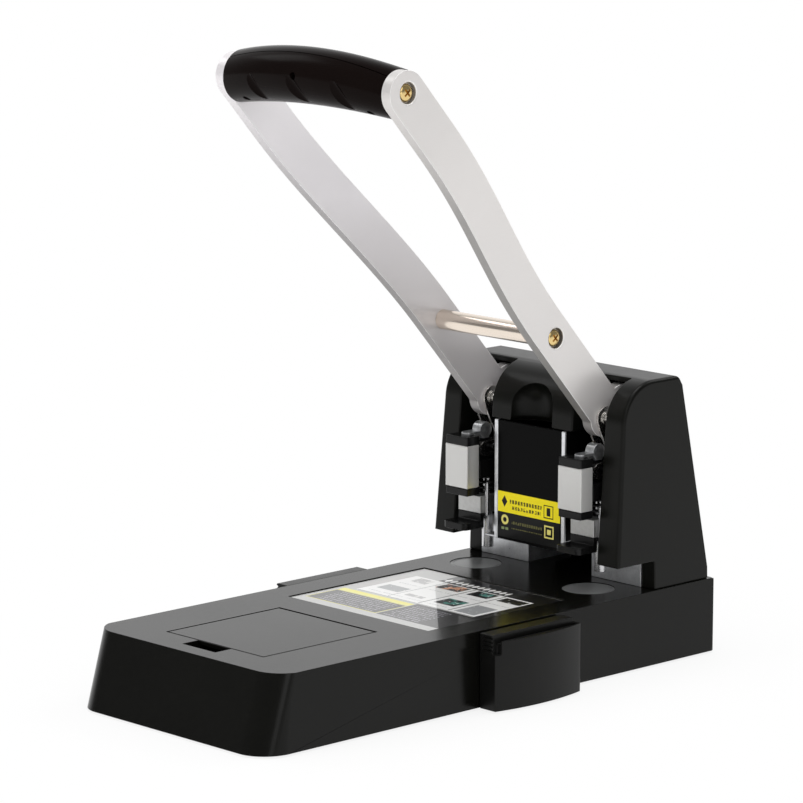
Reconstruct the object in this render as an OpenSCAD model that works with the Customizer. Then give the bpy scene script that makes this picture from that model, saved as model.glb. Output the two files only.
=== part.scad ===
// Heavy-duty two-hole punch with a lever of two flat arms.
// The front is -Y, the right-hand side seen from the front is +X and up is +Z.
// Sizes are in millimetres and the part stands on z = 0.

/* [Base] */
// Length of the base from front to back
base_length = 308; // [300:0.5:316]
// Width of the base at the bottom edge
base_width = 136.4; // [133:0.2:140]
// Height of the working surface over the table
base_height = 38.5; // [37:0.25:40]
// How far the sloped front face leans back over its height
front_lean = 11; // [8:0.5:14]
// How much each side draws in over its height
side_draw = 1.1; // [0.6:0.1:1.6]
// Radius of the front corners seen from above
front_corner = 16; // [12:0.5:20]
// Radius of the rear corners seen from above
rear_corner = 4; // [3:0.5:6]
// Wall thickness of the moulded base
base_wall = 2.5; // [2:0.1:3]
// Gap between the base edge and the table
table_gap = 1; // [0.7:0.1:1.3]
// Thickness of the bottom cover
cover_plate = 2.2; // [1.8:0.1:2.6]

/* [Storage hatch] */
// Half width of the hatch lid
lid_half = 34.4; // [33:0.2:36]
// Distance of the hatch lid from the front edge of the base
lid_setback = 30.9; // [28:0.5:34]
// Length of the hatch lid
lid_length = 71.6; // [69:0.2:74]
// Thickness of the hatch lid
lid_plate = 2.5; // [2.2:0.1:2.8]
// Play round the lid
lid_gap = 0.45; // [0.3:0.05:0.6]
// Depth of the storage well under the lid
well_depth = 24; // [18:0.5:28]
// Length of the finger notch in front of the lid
notch_reach = 10.5; // [8:0.5:12]
// Half width of the finger notch
notch_half = 11.75; // [10.5:0.25:13]
// Depth of the finger notch
notch_depth = 5; // [4.6:0.1:5.6]

/* [Cutting discs] */
// Distance between the two hole centres
hole_spacing = 80; // [79:0.5:81]
// How far the disc centres lie in front of the punch pins
disc_ahead = 8.5; // [7.5:0.25:9]
// Radius of a cutting disc
disc_radius = 13.2; // [12.5:0.1:14]
// Thickness of a cutting disc
disc_plate = 6; // [5:0.25:7]
// How far a disc stands below the working surface
disc_sunk = 0.3; // [0.2:0.05:0.5]
// Radial play of a disc in its seat
disc_play = 0.05; // [0.03:0.01:0.08]

/* [Side guides] */
// Distance of a side guide from the front edge of the base
guide_setback = 139; // [136:0.5:142]
// Length of a side guide
guide_length = 58.6; // [55:0.5:62]
// How far the ends of a side guide stand out from the base
guide_reach = 11; // [9:0.5:13]
// How much further the bowed outer face stands out in the middle
guide_bow = 3.5; // [2.5:0.25:4.5]
// Thickness of the sliding bar
bar_plate = 2.5; // [2:0.1:3]
// Width of the sliding bar
bar_width = 40; // [36:0.5:44]
// Play of the sliding bar in its channel
bar_play = 0.08; // [0.05:0.01:0.1]

/* [Head cover] */
// How far the head stands in front of the back stop at the working surface
head_ahead = 27.2; // [26.6:0.1:28]
// How far the front face leans back up to the rounding
head_lean = 6.2; // [5.4:0.1:7]
// Height of the top of the head
head_top = 144.5; // [143.5:0.25:146]
// Radius of the rounded front edge on top
head_round = 22.5; // [21:0.25:24]
// How far the flat top ends in front of the rear face
head_slope = 20.2; // [19:0.5:21.5]
// Gap between the rear face of the head and the rear edge of the base
head_gap = 4.3; // [3.5:0.1:5]
// Half width of the head at the working surface
head_half = 66; // [65.4:0.1:66.8]
// How much each side of the head draws in over its height
head_draw = 3.2; // [2.6:0.1:3.8]
// Wall thickness of the head cover
head_wall = 2.5; // [2.2:0.1:2.8]
// Lower edge of the two cheeks
cheek_bottom = 53; // [52:0.25:54]
// Inner face of a cheek
cheek_inner = 50.8; // [50.6:0.1:51.2]
// Half width of the middle dome
dome_half = 28.5; // [28:0.1:28.7]
// Lower edge of the middle dome
dome_bottom = 116.3; // [116.1:0.1:117.5]
// How far the arm slots end in front of the back stop
slot_ahead = 2.5; // [2:0.1:4]
// Half width of the arched recess in the dome
arch_half = 15; // [13:0.25:17]

/* [Steel frames] */
// Thickness of the inner and outer frame plates
frame_plate = 2.5; // [2.2:0.1:2.8]
// Thickness of the back stop
stop_plate = 2; // [1.6:0.1:2.4]
// Distance of the back stop from the rear edge of the base
stop_setback = 44; // [43.5:0.1:44.5]
// Outer face of the middle panel to its centre
panel_half = 22.4; // [22:0.1:22.6]
// How far the middle panel stands in front of the back stop
panel_ahead = 22.5; // [22:0.1:23]
// Top of the steel frames
frame_top = 136.5; // [135:0.25:138]
// How far the frames reach behind the back stop
frame_back = 20; // [18:0.5:22]
// Length of the frame feet behind the back stop
foot_back = 32; // [30:0.5:34]
// Lower end of the frames over the paper throat
frame_bottom = 54.5; // [54:0.25:55.5]
// Top of the back stop
stop_top = 112; // [110:0.25:113]
// Inner face of the outer frame plate
outer_frame = 54; // [53.8:0.1:54.4]

/* [Lever] */
// How far the lever pivot lies behind the back stop face
pivot_behind = 0.3; // [0.2:0.05:0.6]
// Height of the lever pivot
pivot_z = 127.2; // [126.8:0.1:127.6]
// Radius of the pivot shaft
shaft_radius = 5; // [4.6:0.1:5.4]
// Radial play of the arms on the shaft
shaft_play = 0.05; // [0.02:0.01:0.08]
// Elevation of the arms at rest
arm_angle = 47.9; // [46.5:0.1:49]
// Thickness of an arm
arm_plate = 6; // [5.4:0.1:6.6]
// Width of an arm
arm_width = 22.4; // [21.6:0.1:23.2]
// Distance of the arm centreline from the pivot
arm_offset = 8.3; // [8:0.1:8.6]
// How far an arm bends outwards on its way to the grip
arm_splay = 18; // [15:0.5:21]
// Distance from the pivot to the start of the bend
splay_start = 69.6; // [68:0.5:72]
// Length of the bend along the arm
splay_length = 138; // [130:1:146]
// Distance from the pivot to the grip along the arm
grip_distance = 238.7; // [234:0.5:243]
// Distance from the pivot to the cross rod along the arm
rod_distance = 63; // [61:0.5:64]
// Radius of the rounded arm end at the grip
arm_end = 11.2; // [11.2:0.1:12]
// Radius of the arm hub about the pivot
hub_radius = 13; // [12:0.1:13.6]
// Radius of the cross rod
rod_radius = 5; // [4.4:0.1:5.6]
// Outer radius of the pivot collars
collar_radius = 10.2; // [9.8:0.1:10.3]
// Radius of the collar step that the links pass
collar_step = 7.4; // [7:0.1:7.5]
// Gap between a collar and the cover
collar_gap = 0.3; // [0.2:0.05:0.4]

/* [Grip] */
// Radius of the grip in the middle
grip_radius = 14.4; // [13.6:0.1:14.6]
// Radius of the grip at its ends
grip_end = 12; // [11.4:0.1:12.4]
// How far the grip bows outwards
grip_bow = 4; // [3:0.25:4.25]
// How far the parting line bows to the back
parting_bow = 4; // [3:0.25:5]
// Depth of the finger grooves
groove_depth = 1.6; // [1.2:0.1:2]

/* [Lever screws] */
// Radius of the screw counterbore in an arm
bore_radius = 5.1; // [4.9:0.1:5.4]
// Depth of the screw counterbore in an arm
bore_depth = 3.4; // [3.1:0.1:3.6]
// Radius of a brass screw head
head_radius = 3.9; // [3.6:0.1:4.2]
// Thickness of a brass screw head
head_plate = 1.9; // [1.6:0.1:2.2]
// Radius of a brass screw shank
shank_radius = 2; // [1.8:0.05:2.3]
// Length of a brass screw under its head
shank_length = 13; // [11:0.5:15]

/* [Punch units] */
// Distance of the hole centres from the paper edge
hole_margin = 12; // [11.8:0.1:12.2]
// Radius of a punch pin
pin_radius = 3; // [2.8:0.05:3.2]
// Radius of the hollow in a punch pin
pin_hollow = 2.2; // [1.8:0.05:2.4]
// Lower end of a punch pin at rest
pin_tip = 45.9; // [45.8:0.05:46.2]
// Radial play of a punch pin in its block
pin_play = 0.04; // [0.02:0.01:0.06]
// Half width of the guide and stop blocks
block_half = 8; // [7.6:0.1:8.2]
// Length of the guide block from front to back
block_length = 25.4; // [25.2:0.05:25.5]
// Lower face of the guide block
block_bottom = 66; // [65.6:0.1:66.4]
// Upper face of the guide block
block_top = 75; // [74.4:0.1:75.4]
// How far the stop block stands in front of the guide block
stop_ahead = 11.1; // [10.6:0.1:11.6]
// Lower face of the stop block
stop_bottom = 58.5; // [58:0.1:59]
// Radius of the clip wire
wire_radius = 1; // [0.8:0.05:1.1]
// Upper end of the clip wires
wire_top = 81; // [79:0.25:82]
// Lower face of the carriage leg
leg_bottom = 76; // [75.8:0.1:76.6]
// Upper face of the carriage leg
leg_top = 106.5; // [106:0.1:107]
// Lower face of the carriage web
web_bottom = 84.5; // [84:0.1:85]
// Upper face of the carriage web
web_top = 93; // [92.6:0.1:93.2]
// Half width of the carriage web
web_half = 7.6; // [7.2:0.05:7.7]
// Radius of the spring pockets
pocket_radius = 5.4; // [5.3:0.05:5.6]
// Depth of the spring pocket in the carriage
pocket_depth = 5; // [4.6:0.1:5.4]
// Half width of the carriage tongue
tongue_half = 2.9; // [2.7:0.05:2.95]
// Top of the carriage tongue
tongue_top = 103.6; // [103.5:0.05:103.9]
// Lower edge of the silver sleeve
sleeve_bottom = 80; // [79.4:0.1:80.6]
// Upper edge of the silver sleeve
sleeve_top = 102; // [101.4:0.1:102.6]
// Thickness of the silver sleeve
sleeve_wall = 1; // [0.8:0.05:1.2]
// Radius of the pressure pad
pad_radius = 4.2; // [4:0.05:4.3]
// Mean radius of the return spring
spring_radius = 4.6; // [4.45:0.05:4.7]
// Radius of the spring wire
spring_wire = 0.6; // [0.5:0.05:0.65]
// Number of turns of the return spring
spring_turns = 7; // [6:1:8]

/* [Links] */
// Thickness of a link strip
link_plate = 1.5; // [1.3:0.05:1.6]
// Play between an arm and a link strip
link_gap = 0.05; // [0.03:0.01:0.08]
// Distance from the pivot to the link pin along the arm
link_along = 7.2; // [7:0.1:7.4]
// Distance from the pivot to the link pin across the arm
link_across = 11.8; // [11.6:0.1:12]
// Radius of the upper eye of a link
link_eye = 6; // [5.6:0.1:6.1]
// Radius of the link pin
link_pin_radius = 2.2; // [2:0.05:2.4]
// Radial play of the link on its pin
link_play = 0.04; // [0.02:0.01:0.06]
// Radius of the cross pin
cross_radius = 1.75; // [1.6:0.05:1.85]
// Height of the cross pin at rest
cross_z = 99; // [98.8:0.1:99.2]

/* [Hidden] */
$fn = 48;
tiny = 0.01;
big = 400;
half_pitch = hole_spacing / 2;
base_half = base_width / 2;
floor_z = table_gap + 0.2;
cover_top = floor_z + cover_plate;
skin_z = base_height - base_wall;
lean_angle = atan(front_lean / (base_height - table_gap));
base_front = -base_length / 2;
base_rear = base_length / 2;
stop_face = base_rear - stop_setback;
pin_y = stop_face - hole_margin;
disc_y = pin_y - disc_ahead;
pivot_y = stop_face + pivot_behind;
panel_face = stop_face - panel_ahead;
head_front = stop_face - head_ahead;
head_rear = base_rear - head_gap;
head_flat_end = head_rear - head_slope;
slot_rear = stop_face - slot_ahead;
block_front = stop_face - block_length;
stop_front = block_front - stop_ahead;
stop_rear = block_front + 2.8;
pad_y = pin_y - 4.5;
frame_rear = stop_face + frame_back;
foot_rear = stop_face + foot_back;
lid_front = base_front + lid_setback;
lid_rear = lid_front + lid_length;
guide_front = base_front + guide_setback;
notch_x = 0.55;
hinge_y = lid_rear - 1.5;
hinge_z = base_height - 1.8;
hinge_radius = 1.2;
well_half = lid_half - 1.9;
well_front = lid_front + 2.6;
well_rear = lid_rear - 3.5;
lid_floor = base_height - lid_plate;
label_half = 49.5;
label_front = lid_rear + 20.5;
label_rear = disc_y - 27.5;
label_plate = 0.3;
label_sunk = 0.5;
guide_rear = guide_front + guide_length;
guide_mid = (guide_front + guide_rear) / 2;
guide_inner = base_half + 0.4;
guide_end_x = base_half + guide_reach;
guide_bow_radius = (pow(guide_length / 2, 2) + pow(guide_bow, 2)) / (2 * guide_bow);
guide_top = base_height - 3.3;
guide_rib = 2.8;
stop_tongue = 3.6;
arch_y = head_front + 2.2;
arch_z = head_top - 4.5 - arch_half;
bar_z = 27;
bar_inner = 5;
bar_seat = 7.4;
round_y = head_front + head_lean + head_round;
round_z = head_top - head_round;
cheek_wall = head_wall;
arm_outer = arm_plate / 2;
collar_in = half_pitch - arm_outer;
collar_out = half_pitch + arm_outer;
grip_half = half_pitch + arm_splay - arm_outer;
grip_belly = 5;
rot = 180 - arm_angle;
link_y = pivot_y + link_along * cos(rot) - link_across * sin(rot);
link_z = pivot_z + link_along * sin(rot) + link_across * cos(rot);
strip_in = arm_outer + link_gap;
strip_out = strip_in + link_plate;
slot_back = pin_y + 0.4;
slot_front = pin_y - 4.3;
slot_low = cross_z - 1.05;
slot_high = cross_z + 0.45;
foot_bottom = slot_low - cross_radius - 1.9;
foot_top = slot_high + cross_radius + 1.2;
neck_front = pin_y + 0.2;
neck_back = neck_front + 4.8;
leg_front = stop_front + 1.9;
leg_back = block_front - 0.5;
sleeve_front = leg_front - 0.2;
leg_half = block_half - sleeve_wall;
spring_seat = block_bottom + 3;
spring_end = web_bottom + pocket_depth;
boss_height = 18;
boss_radius = 4;
cover_screw = 1.5;
cover_screw_length = 15;
frame_screw = 2;
bottom_screw = 1.25;
bottom_screw_length = 13;

// A box between two corners
module box(a, b) {
  translate(a) cube([b[0] - a[0], b[1] - a[1], b[2] - a[2]]);
}

// A cylinder along X between two positions
module along_x(x0, x1, y, z, r) {
  translate([x0, y, z]) rotate([0, 90, 0]) cylinder(h = x1 - x0, r = r);
}

// A cylinder along Y between two positions
module along_y(y0, y1, x, z, r) {
  translate([x, y0, z]) rotate([-90, 0, 0]) cylinder(h = y1 - y0, r = r);
}

// A side view drawn in Y and Z, given a thickness along X
module side_plate(x0, x1) {
  translate([x0, 0, 0]) rotate([90, 0, 90]) linear_extrude(height = x1 - x0) children();
}

// The same thing on the left and on the right
module both_sides() {
  children();
  mirror([1, 0, 0]) children();
}

// The frame of the lever: Y runs up the arm and Z towards its front edge
module in_lever() {
  translate([0, pivot_y, pivot_z]) rotate([rot, 0, 0]) children();
}

// A plan rectangle with two rounded front and two rounded rear corners
module base_plan(half, front, rear, rf, rr) {
  translate([-half, front + rf]) square([2 * half, rear - rr - front - rf]);
  translate([-half + rf, front]) square([2 * half - 2 * rf, rf + tiny]);
  translate([-half + rf, front + rf]) circle(r = rf);
  translate([half - rf, front + rf]) circle(r = rf);
  translate([-half + rr, rear - rr - tiny]) square([2 * half - 2 * rr, rr + tiny]);
  translate([-half + rr, rear - rr]) circle(r = rr);
  translate([half - rr, rear - rr]) circle(r = rr);
}

// The body of the base, drawn in by a wall thickness
module base_body(wall, z0, z1) {
  intersection() {
    box([-base_half, base_front, z0], [base_half, base_rear, z1]);
    translate([0, base_front + wall / cos(lean_angle), table_gap])
      rotate([-lean_angle, 0, 0])
        translate([0, -base_front, -base_length / 3])
          linear_extrude(height = 4 * base_length / 3)
            base_plan(base_half - wall, base_front, base_rear + 60, front_corner - wall, rear_corner);
    translate([0, 0, -10])
      linear_extrude(height = 100)
        base_plan(base_half - wall, base_front - 40, base_rear - wall, front_corner,
          max(rear_corner - wall, 1));
    rotate([90, 0, 0])
      translate([0, 0, -big / 2])
        linear_extrude(height = big)
          polygon([
            [-base_half + wall, table_gap - 5], [base_half - wall, table_gap - 5],
            [base_half - wall, table_gap], [base_half - wall - side_draw, base_height],
            [base_half - wall - side_draw, base_height + 5],
            [-base_half + wall + side_draw, base_height + 5],
            [-base_half + wall + side_draw, base_height], [-base_half + wall, table_gap]
          ]);
  }
}

// Positions of the screws that hold the bottom cover
bottom_spots = [
  for (s = [-1, 1]) [s * (base_half - 16.2), base_front + 23],
  for (s = [-1, 1]) [s * (base_half - 13.2), base_rear - 8.8]
];
// Positions of the rubber feet
foot_spots = [
  for (s = [-1, 1], y = [base_front + 44, base_rear - 30]) [s * (base_half - 14.2), y]
];
// Positions of the screws that hold the frames
frame_spots = [
  for (s = [-1, 1], y = [stop_face + 10, foot_rear - 7]) [s * (panel_half + outer_frame) / 2, y]
];
// Positions of the screws that hold the head cover
cover_spots = [for (s = [-1, 1]) [s * (head_half - 7.5), stop_face + 27]];

// The two cores of the side guide channels, with the play given
module bar_space(play) {
  both_sides()
    box([bar_inner - 2, guide_mid - bar_width / 2 - play, bar_z - play],
      [base_half + 5, guide_mid + bar_width / 2 + play, bar_z + bar_plate + play]);
}

// The base: a moulded shell with wells, seats and channels
module base_housing() {
  color([0.07, 0.07, 0.07])
    difference() {
      union() {
        difference() {
          base_body(0, table_gap, base_height);
          base_body(base_wall, table_gap - 1, skin_z);
        }
        // Walls of the storage well
        box([-lid_half - lid_gap - 2.2, lid_front - lid_gap - 2.2, base_height - well_depth - 2],
          [lid_half + lid_gap + 2.2, lid_rear + 1 + 2.2, base_height]);
        // Pocket of the finger notch
        box([notch_x - notch_half - 2.2, lid_front - notch_reach - 2, base_height - notch_depth - 2],
          [notch_x + notch_half + 2.2, lid_front + 1, base_height]);
        // Seats of the cutting discs
        for (x = [-half_pitch, half_pitch])
          translate([x, disc_y, base_height - disc_sunk - disc_plate - 2])
            cylinder(h = disc_plate + disc_sunk + 2, r = disc_radius + 2.4, $fn = 64);
        // Channels of the side guides
        both_sides()
          box([bar_inner - 2, guide_mid - bar_width / 2 - 2.4, bar_z - 2.4],
            [base_half - base_wall - side_draw + 1, guide_mid + bar_width / 2 + 2.4,
              bar_z + bar_plate + 2.4]);
        for (x = [-0.55 * base_half, 0.55 * base_half])
          box([x - 3, guide_mid - bar_width / 2 - 2.4, bar_z + bar_plate],
            [x + 3, guide_mid + bar_width / 2 + 2.4, skin_z + 1]);
        for (p = bottom_spots)
          translate([p[0], p[1], cover_top]) cylinder(h = skin_z + 1 - cover_top, r = 4.2);
        for (p = frame_spots)
          translate([p[0], p[1], skin_z - 10]) cylinder(h = 11, r = 5);
      }
      // Room for the lid and the well under it
      box([-lid_half - lid_gap, lid_front - lid_gap, lid_floor],
        [lid_half + lid_gap, lid_rear + 1, base_height + 1]);
      box([-lid_half - lid_gap, lid_rear - 5.4, base_height - lid_plate - 1.6],
        [lid_half + lid_gap, lid_rear + 1, base_height + 1]);
      box([-well_half, well_front, base_height - well_depth],
        [well_half, well_rear, base_height + 1]);
      along_x(-lid_half - 2.1, lid_half + 2.1, hinge_y, hinge_z, hinge_radius + 0.05);
      // Finger notch
      box([notch_x - notch_half, lid_front - notch_reach, base_height - notch_depth],
        [notch_x + notch_half, well_front + 1, base_height + 1]);
      // Label recess
      box([-label_half - 0.4, label_front - 0.4, base_height - label_sunk - label_plate],
        [label_half + 0.4, label_rear + 0.4, base_height + 1]);
      // Disc seats
      for (x = [-half_pitch, half_pitch])
        translate([x, disc_y, base_height - disc_sunk - disc_plate])
          cylinder(h = disc_plate + 5, r = disc_radius + disc_play, $fn = 64);
      bar_space(bar_play);
      for (p = bottom_spots)
        translate([p[0], p[1], 0]) cylinder(h = bottom_screw_length + 3, r = bottom_screw, $fn = 24);
      for (p = frame_spots)
        translate([p[0], p[1], base_height - 12]) cylinder(h = 20, r = frame_screw, $fn = 24);
      for (p = cover_spots)
        translate([p[0], p[1], base_height - 10]) cylinder(h = 20, r = cover_screw + 0.1, $fn = 24);
    }
}

// The plate that closes the base from below
module bottom_cover() {
  color([0.09, 0.09, 0.09])
    difference() {
      base_body(base_wall + 0.4, floor_z, cover_top);
      for (p = bottom_spots) {
        translate([p[0], p[1], floor_z - 1]) cylinder(h = 2.2, r = 3.1, $fn = 32);
        translate([p[0], p[1], floor_z - 1]) cylinder(h = 9, r = 1.6, $fn = 24);
      }
      for (p = foot_spots)
        translate([p[0], p[1], floor_z - 1]) cylinder(h = 2, r = 7);
    }
}

// Four rubber feet set in the cover
module rubber_feet() {
  color([0.15, 0.15, 0.15])
    for (p = foot_spots)
      translate([p[0], p[1], 0]) cylinder(h = floor_z + 1, r = 7);
}

// Screws of the bottom cover
module bottom_screws() {
  color([0.6, 0.6, 0.62])
    for (p = bottom_spots) {
      translate([p[0], p[1], floor_z]) cylinder(h = 1.2, r = 2.9, $fn = 32);
      translate([p[0], p[1], floor_z]) cylinder(h = bottom_screw_length, r = bottom_screw, $fn = 24);
    }
}

// A cutting disc with a faint ring where the pin lands
module disc(x) {
  color([0.45, 0.46, 0.47])
    translate([x, disc_y, base_height - disc_sunk - disc_plate])
      difference() {
        cylinder(h = disc_plate, r = disc_radius, $fn = 64);
        translate([0, 0, disc_plate - 0.2])
          difference() {
            cylinder(h = 1, r = disc_radius - 1.2, $fn = 64);
            translate([0, 0, -1]) cylinder(h = 3, r = disc_radius - 1.6, $fn = 64);
          }
      }
}

// The lid over the storage well with its two hinge studs
module hatch_lid() {
  color([0.08, 0.08, 0.08]) {
    box([-lid_half, lid_front, lid_floor], [lid_half, lid_rear, base_height]);
    along_x(-lid_half - 1.8, lid_half + 1.8, hinge_y, hinge_z, hinge_radius);
  }
}

// The sheet in the label recess
module label_sheet() {
  color([0.85, 0.85, 0.83])
    box([-label_half, label_front, base_height - label_sunk - label_plate],
      [label_half, label_rear, base_height - label_sunk]);
}

// The bowed outer end of a side guide
module guide_end(side) {
  color([0.09, 0.09, 0.09])
    mirror([side < 0 ? 1 : 0, 0, 0])
      difference() {
        intersection() {
          box([guide_inner, guide_front, table_gap - 0.2],
            [guide_end_x + guide_bow + 1, guide_rear, guide_top + guide_rib]);
          translate([guide_end_x + guide_bow - guide_bow_radius, guide_mid, 0])
            cylinder(h = 60, r = guide_bow_radius, $fn = 360);
        }
        // Hollow inside
        box([guide_inner - 1, guide_front + 2.4, table_gap + 2.2],
          [guide_end_x - 2.4, guide_rear - 2.4, bar_z - 2.6]);
        // The flat rib beside the base ends short of the rear
        box([guide_inner - 1, guide_rear - 3.2, guide_top], [big, guide_rear + 1, base_height + 5]);
        // Groove behind the outer lip
        box([guide_inner + 8.2, guide_front - 1, guide_top - 1.8],
          [guide_inner + 10.6, guide_rear - 3, base_height + 5]);
        // The outer lip is lower than the inner rib
        box([guide_inner + 8.2, guide_front - 1, guide_top], [big, guide_rear + 1, base_height + 5]);
        // Notch at the upper front corner
        box([guide_inner + 8.2, guide_front - 1, guide_top - 6.6],
          [big, guide_front + 3.6, base_height + 5]);
        // Fine grooves across the upper front end
        for (i = [0:3])
          box([guide_inner + 1.4, guide_front - 1, guide_top - 5.4 + 2 * i],
            [big, guide_front + 0.8, guide_top - 4.4 + 2 * i]);
        // Seat of the sliding bar
        box([guide_inner - 1, guide_mid - bar_width / 2, bar_z],
          [guide_inner + bar_seat, guide_mid + bar_width / 2, bar_z + bar_plate]);
      }
}

// The sliding bar of a side guide
module guide_bar(side) {
  color([0.12, 0.12, 0.12])
    mirror([side < 0 ? 1 : 0, 0, 0])
      difference() {
        box([bar_inner, guide_mid - bar_width / 2, bar_z],
          [guide_inner + bar_seat, guide_mid + bar_width / 2, bar_z + bar_plate]);
        box([bar_inner + 12, guide_mid - 8, bar_z - 1],
          [bar_inner + 40, guide_mid + 8, bar_z + bar_plate + 1]);
      }
}

// Side view of the head, drawn in by a wall thickness
module head_profile(t) {
  y0 = head_front + t;
  top = head_top - t;
  rear = head_rear - t;
  polygon([
    [y0, base_height], [round_y - head_round + t, round_z], [round_y, top],
    [head_flat_end - t * 0.4, top], [head_flat_end + 3 - t, top - 5], [rear, base_height + 6],
    [rear, base_height]
  ]);
  translate([round_y, round_z]) circle(r = head_round - t, $fn = 96);
}

// The body of the head, drawn in by a wall thickness
module head_body(t) {
  intersection() {
    side_plate(-head_half, head_half) head_profile(t);
    rotate([90, 0, 0])
      translate([0, 0, -big / 2])
        linear_extrude(height = big)
          polygon([
            [-head_half + t, base_height - 1], [head_half - t, base_height - 1],
            [head_half - t - head_draw, head_top], [-head_half + t + head_draw, head_top]
          ]);
  }
}

// The arched recess in the front of the dome
module arch(extra) {
  reach = arch_half + extra;
  translate([0, arch_y, 0])
    rotate_extrude($fn = 96)
      intersection() {
        union() {
          translate([0, dome_bottom - 1]) square([reach, arch_z - dome_bottom + 1]);
          translate([0, arch_z]) circle(r = reach, $fn = 96);
        }
        translate([0, dome_bottom - 1]) square([reach + 1, head_top]);
      }
}

// The black moulded cover of the head
module head_cover() {
  color([0.07, 0.07, 0.07])
    difference() {
      union() {
        difference() {
          head_body(0);
          translate([0, 0, -tiny]) head_body(head_wall);
          // Arm slots, open in front and on top
          both_sides()
            box([dome_half, 0, 0], [cheek_inner, slot_rear, big]);
          // Room under the dome
          box([-cheek_inner, 0, 0], [cheek_inner, slot_rear, dome_bottom]);
          // Side openings of the paper throat
          box([-big, 0, 0], [big, stop_face + 0.3, cheek_bottom]);
        }
        // Inner walls, floors and throat walls of the cheeks
        intersection() {
          head_body(0);
          both_sides() {
            box([cheek_inner, head_front, cheek_bottom],
              [cheek_inner + cheek_wall, stop_face - 0.5, head_top]);
            box([cheek_inner, head_front, cheek_bottom],
              [head_half, stop_face + 0.3, cheek_bottom + cheek_wall]);
            box([outer_frame + frame_plate + 0.3, stop_face + 0.3, base_height],
              [head_half, stop_face + 0.3 + head_wall, cheek_bottom + cheek_wall]);
            box([dome_half - head_wall, head_front, dome_bottom],
              [dome_half, slot_rear + 4, head_top]);
          }
        }
        // Lining of the arched recess
        intersection() {
          head_body(0);
          difference() {
            arch(head_wall);
            box([-big, 0, 0], [big, big, dome_bottom]);
          }
        }
        // Screw bosses
        for (p = cover_spots)
          translate([p[0], p[1], base_height]) cylinder(h = boss_height, r = boss_radius);
        both_sides()
          box([cover_spots[1][0], cover_spots[1][1] - 1, base_height],
            [head_half - 2, cover_spots[1][1] + 1, base_height + boss_height]);
      }
      arch(0);
      both_sides() along_x(0, head_half - 8, pivot_y, pivot_z, collar_radius - 3);
      for (p = cover_spots)
        translate([p[0], p[1], 0])
          cylinder(h = base_height + boss_height - 4, r = cover_screw, $fn = 24);
    }
}

// Screws that hold the head cover from inside the base
module cover_screws() {
  color([0.6, 0.6, 0.62])
    for (p = cover_spots) {
      translate([p[0], p[1], skin_z - 2]) cylinder(h = 2, r = 2 * cover_screw, $fn = 32);
      translate([p[0], p[1], skin_z - 2]) cylinder(h = cover_screw_length, r = cover_screw, $fn = 24);
    }
}

// The smooth panel between the two frames
module centre_panel() {
  color([0.03, 0.03, 0.03])
    box([-panel_half, panel_face, frame_bottom], [panel_half, panel_face + 2.5, dome_bottom - 0.3]);
}

// The coloured label on the panel
module panel_label() {
  color([0.9, 0.75, 0.05])
    box([-panel_half + 0.4, panel_face - 0.25, frame_bottom + 1.5],
      [panel_half - 0.4, panel_face, frame_bottom + 25]);
}

// Side view of a frame plate between a front and a rear edge
module frame_side(front, low) {
  polygon([
    [front, low], [stop_face, low], [stop_face, base_height], [frame_rear, base_height],
    [frame_rear, frame_top - 3.5], [frame_rear - 4, frame_top], [panel_face + 12, frame_top],
    [panel_face + 12, dome_bottom - 0.3], [front, dome_bottom - 0.3]
  ]);
}

// One bent steel frame: inner plate, back stop, outer plate and foot
module frame(side) {
  color([0.75, 0.76, 0.78])
    mirror([side < 0 ? 1 : 0, 0, 0])
      difference() {
        union() {
          side_plate(panel_half, panel_half + frame_plate) frame_side(panel_face, frame_bottom);
          side_plate(outer_frame, outer_frame + frame_plate)
            frame_side(panel_face + 7.5, cheek_bottom + cheek_wall + 0.5);
          box([panel_half, stop_face, base_height],
            [outer_frame + frame_plate, stop_face + stop_plate, stop_top]);
          box([panel_half, stop_face, base_height],
            [outer_frame + frame_plate, foot_rear, base_height + frame_plate]);
          box([panel_half, panel_face, frame_bottom],
            [panel_half + 9, panel_face + 10, frame_bottom + 1.2]);
        }
        along_x(0, head_half, pivot_y, pivot_z, shaft_radius);
        for (p = frame_spots)
          translate([p[0], p[1], 0]) cylinder(h = head_half, r = frame_screw + 0.2, $fn = 24);
        // Corner relief beside the screw boss of the cover
        box([outer_frame - 1, frame_rear + 1, 0], [head_half, base_rear, head_top]);
      }
}

// Screws that hold the frames on the base
module frame_screws() {
  color([0.7, 0.7, 0.72])
    for (p = frame_spots) {
      translate([p[0], p[1], base_height + frame_plate])
        cylinder(h = 2.4, r = 1.8 * frame_screw, $fn = 32);
      translate([p[0], p[1], base_height - 9]) cylinder(h = frame_plate + 9.5, r = frame_screw, $fn = 24);
    }
}

// The light block that guides the punch pin
module guide_block(x) {
  color([0.7, 0.7, 0.7])
    difference() {
      box([x - block_half, block_front, block_bottom], [x + block_half, stop_face, block_top]);
      translate([x, pin_y, 0]) cylinder(h = big, r = pin_radius + pin_play);
      translate([x, pin_y, spring_seat]) cylinder(h = 40, r = pocket_radius);
    }
}

// The black stop block under the front of the guide block
module stop_block(x) {
  color([0.06, 0.06, 0.06])
    intersection() {
      union() {
        box([x - block_half, stop_front, stop_bottom],
          [x + block_half, stop_rear, stop_bottom + stop_tongue]);
        box([x - block_half, block_front, stop_bottom], [x + block_half, stop_rear, block_bottom]);
      }
      union() {
        box([x - block_half, stop_front + 2.5, 0], [x + block_half, stop_face, block_top]);
        box([x - block_half + 2.5, stop_front, 0], [x + block_half - 2.5, stop_face, block_top]);
        for (s = [-1, 1])
          translate([x + s * (block_half - 2.5), stop_front + 2.5, 0])
            cylinder(h = block_top, r = 2.5);
      }
    }
}

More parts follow.
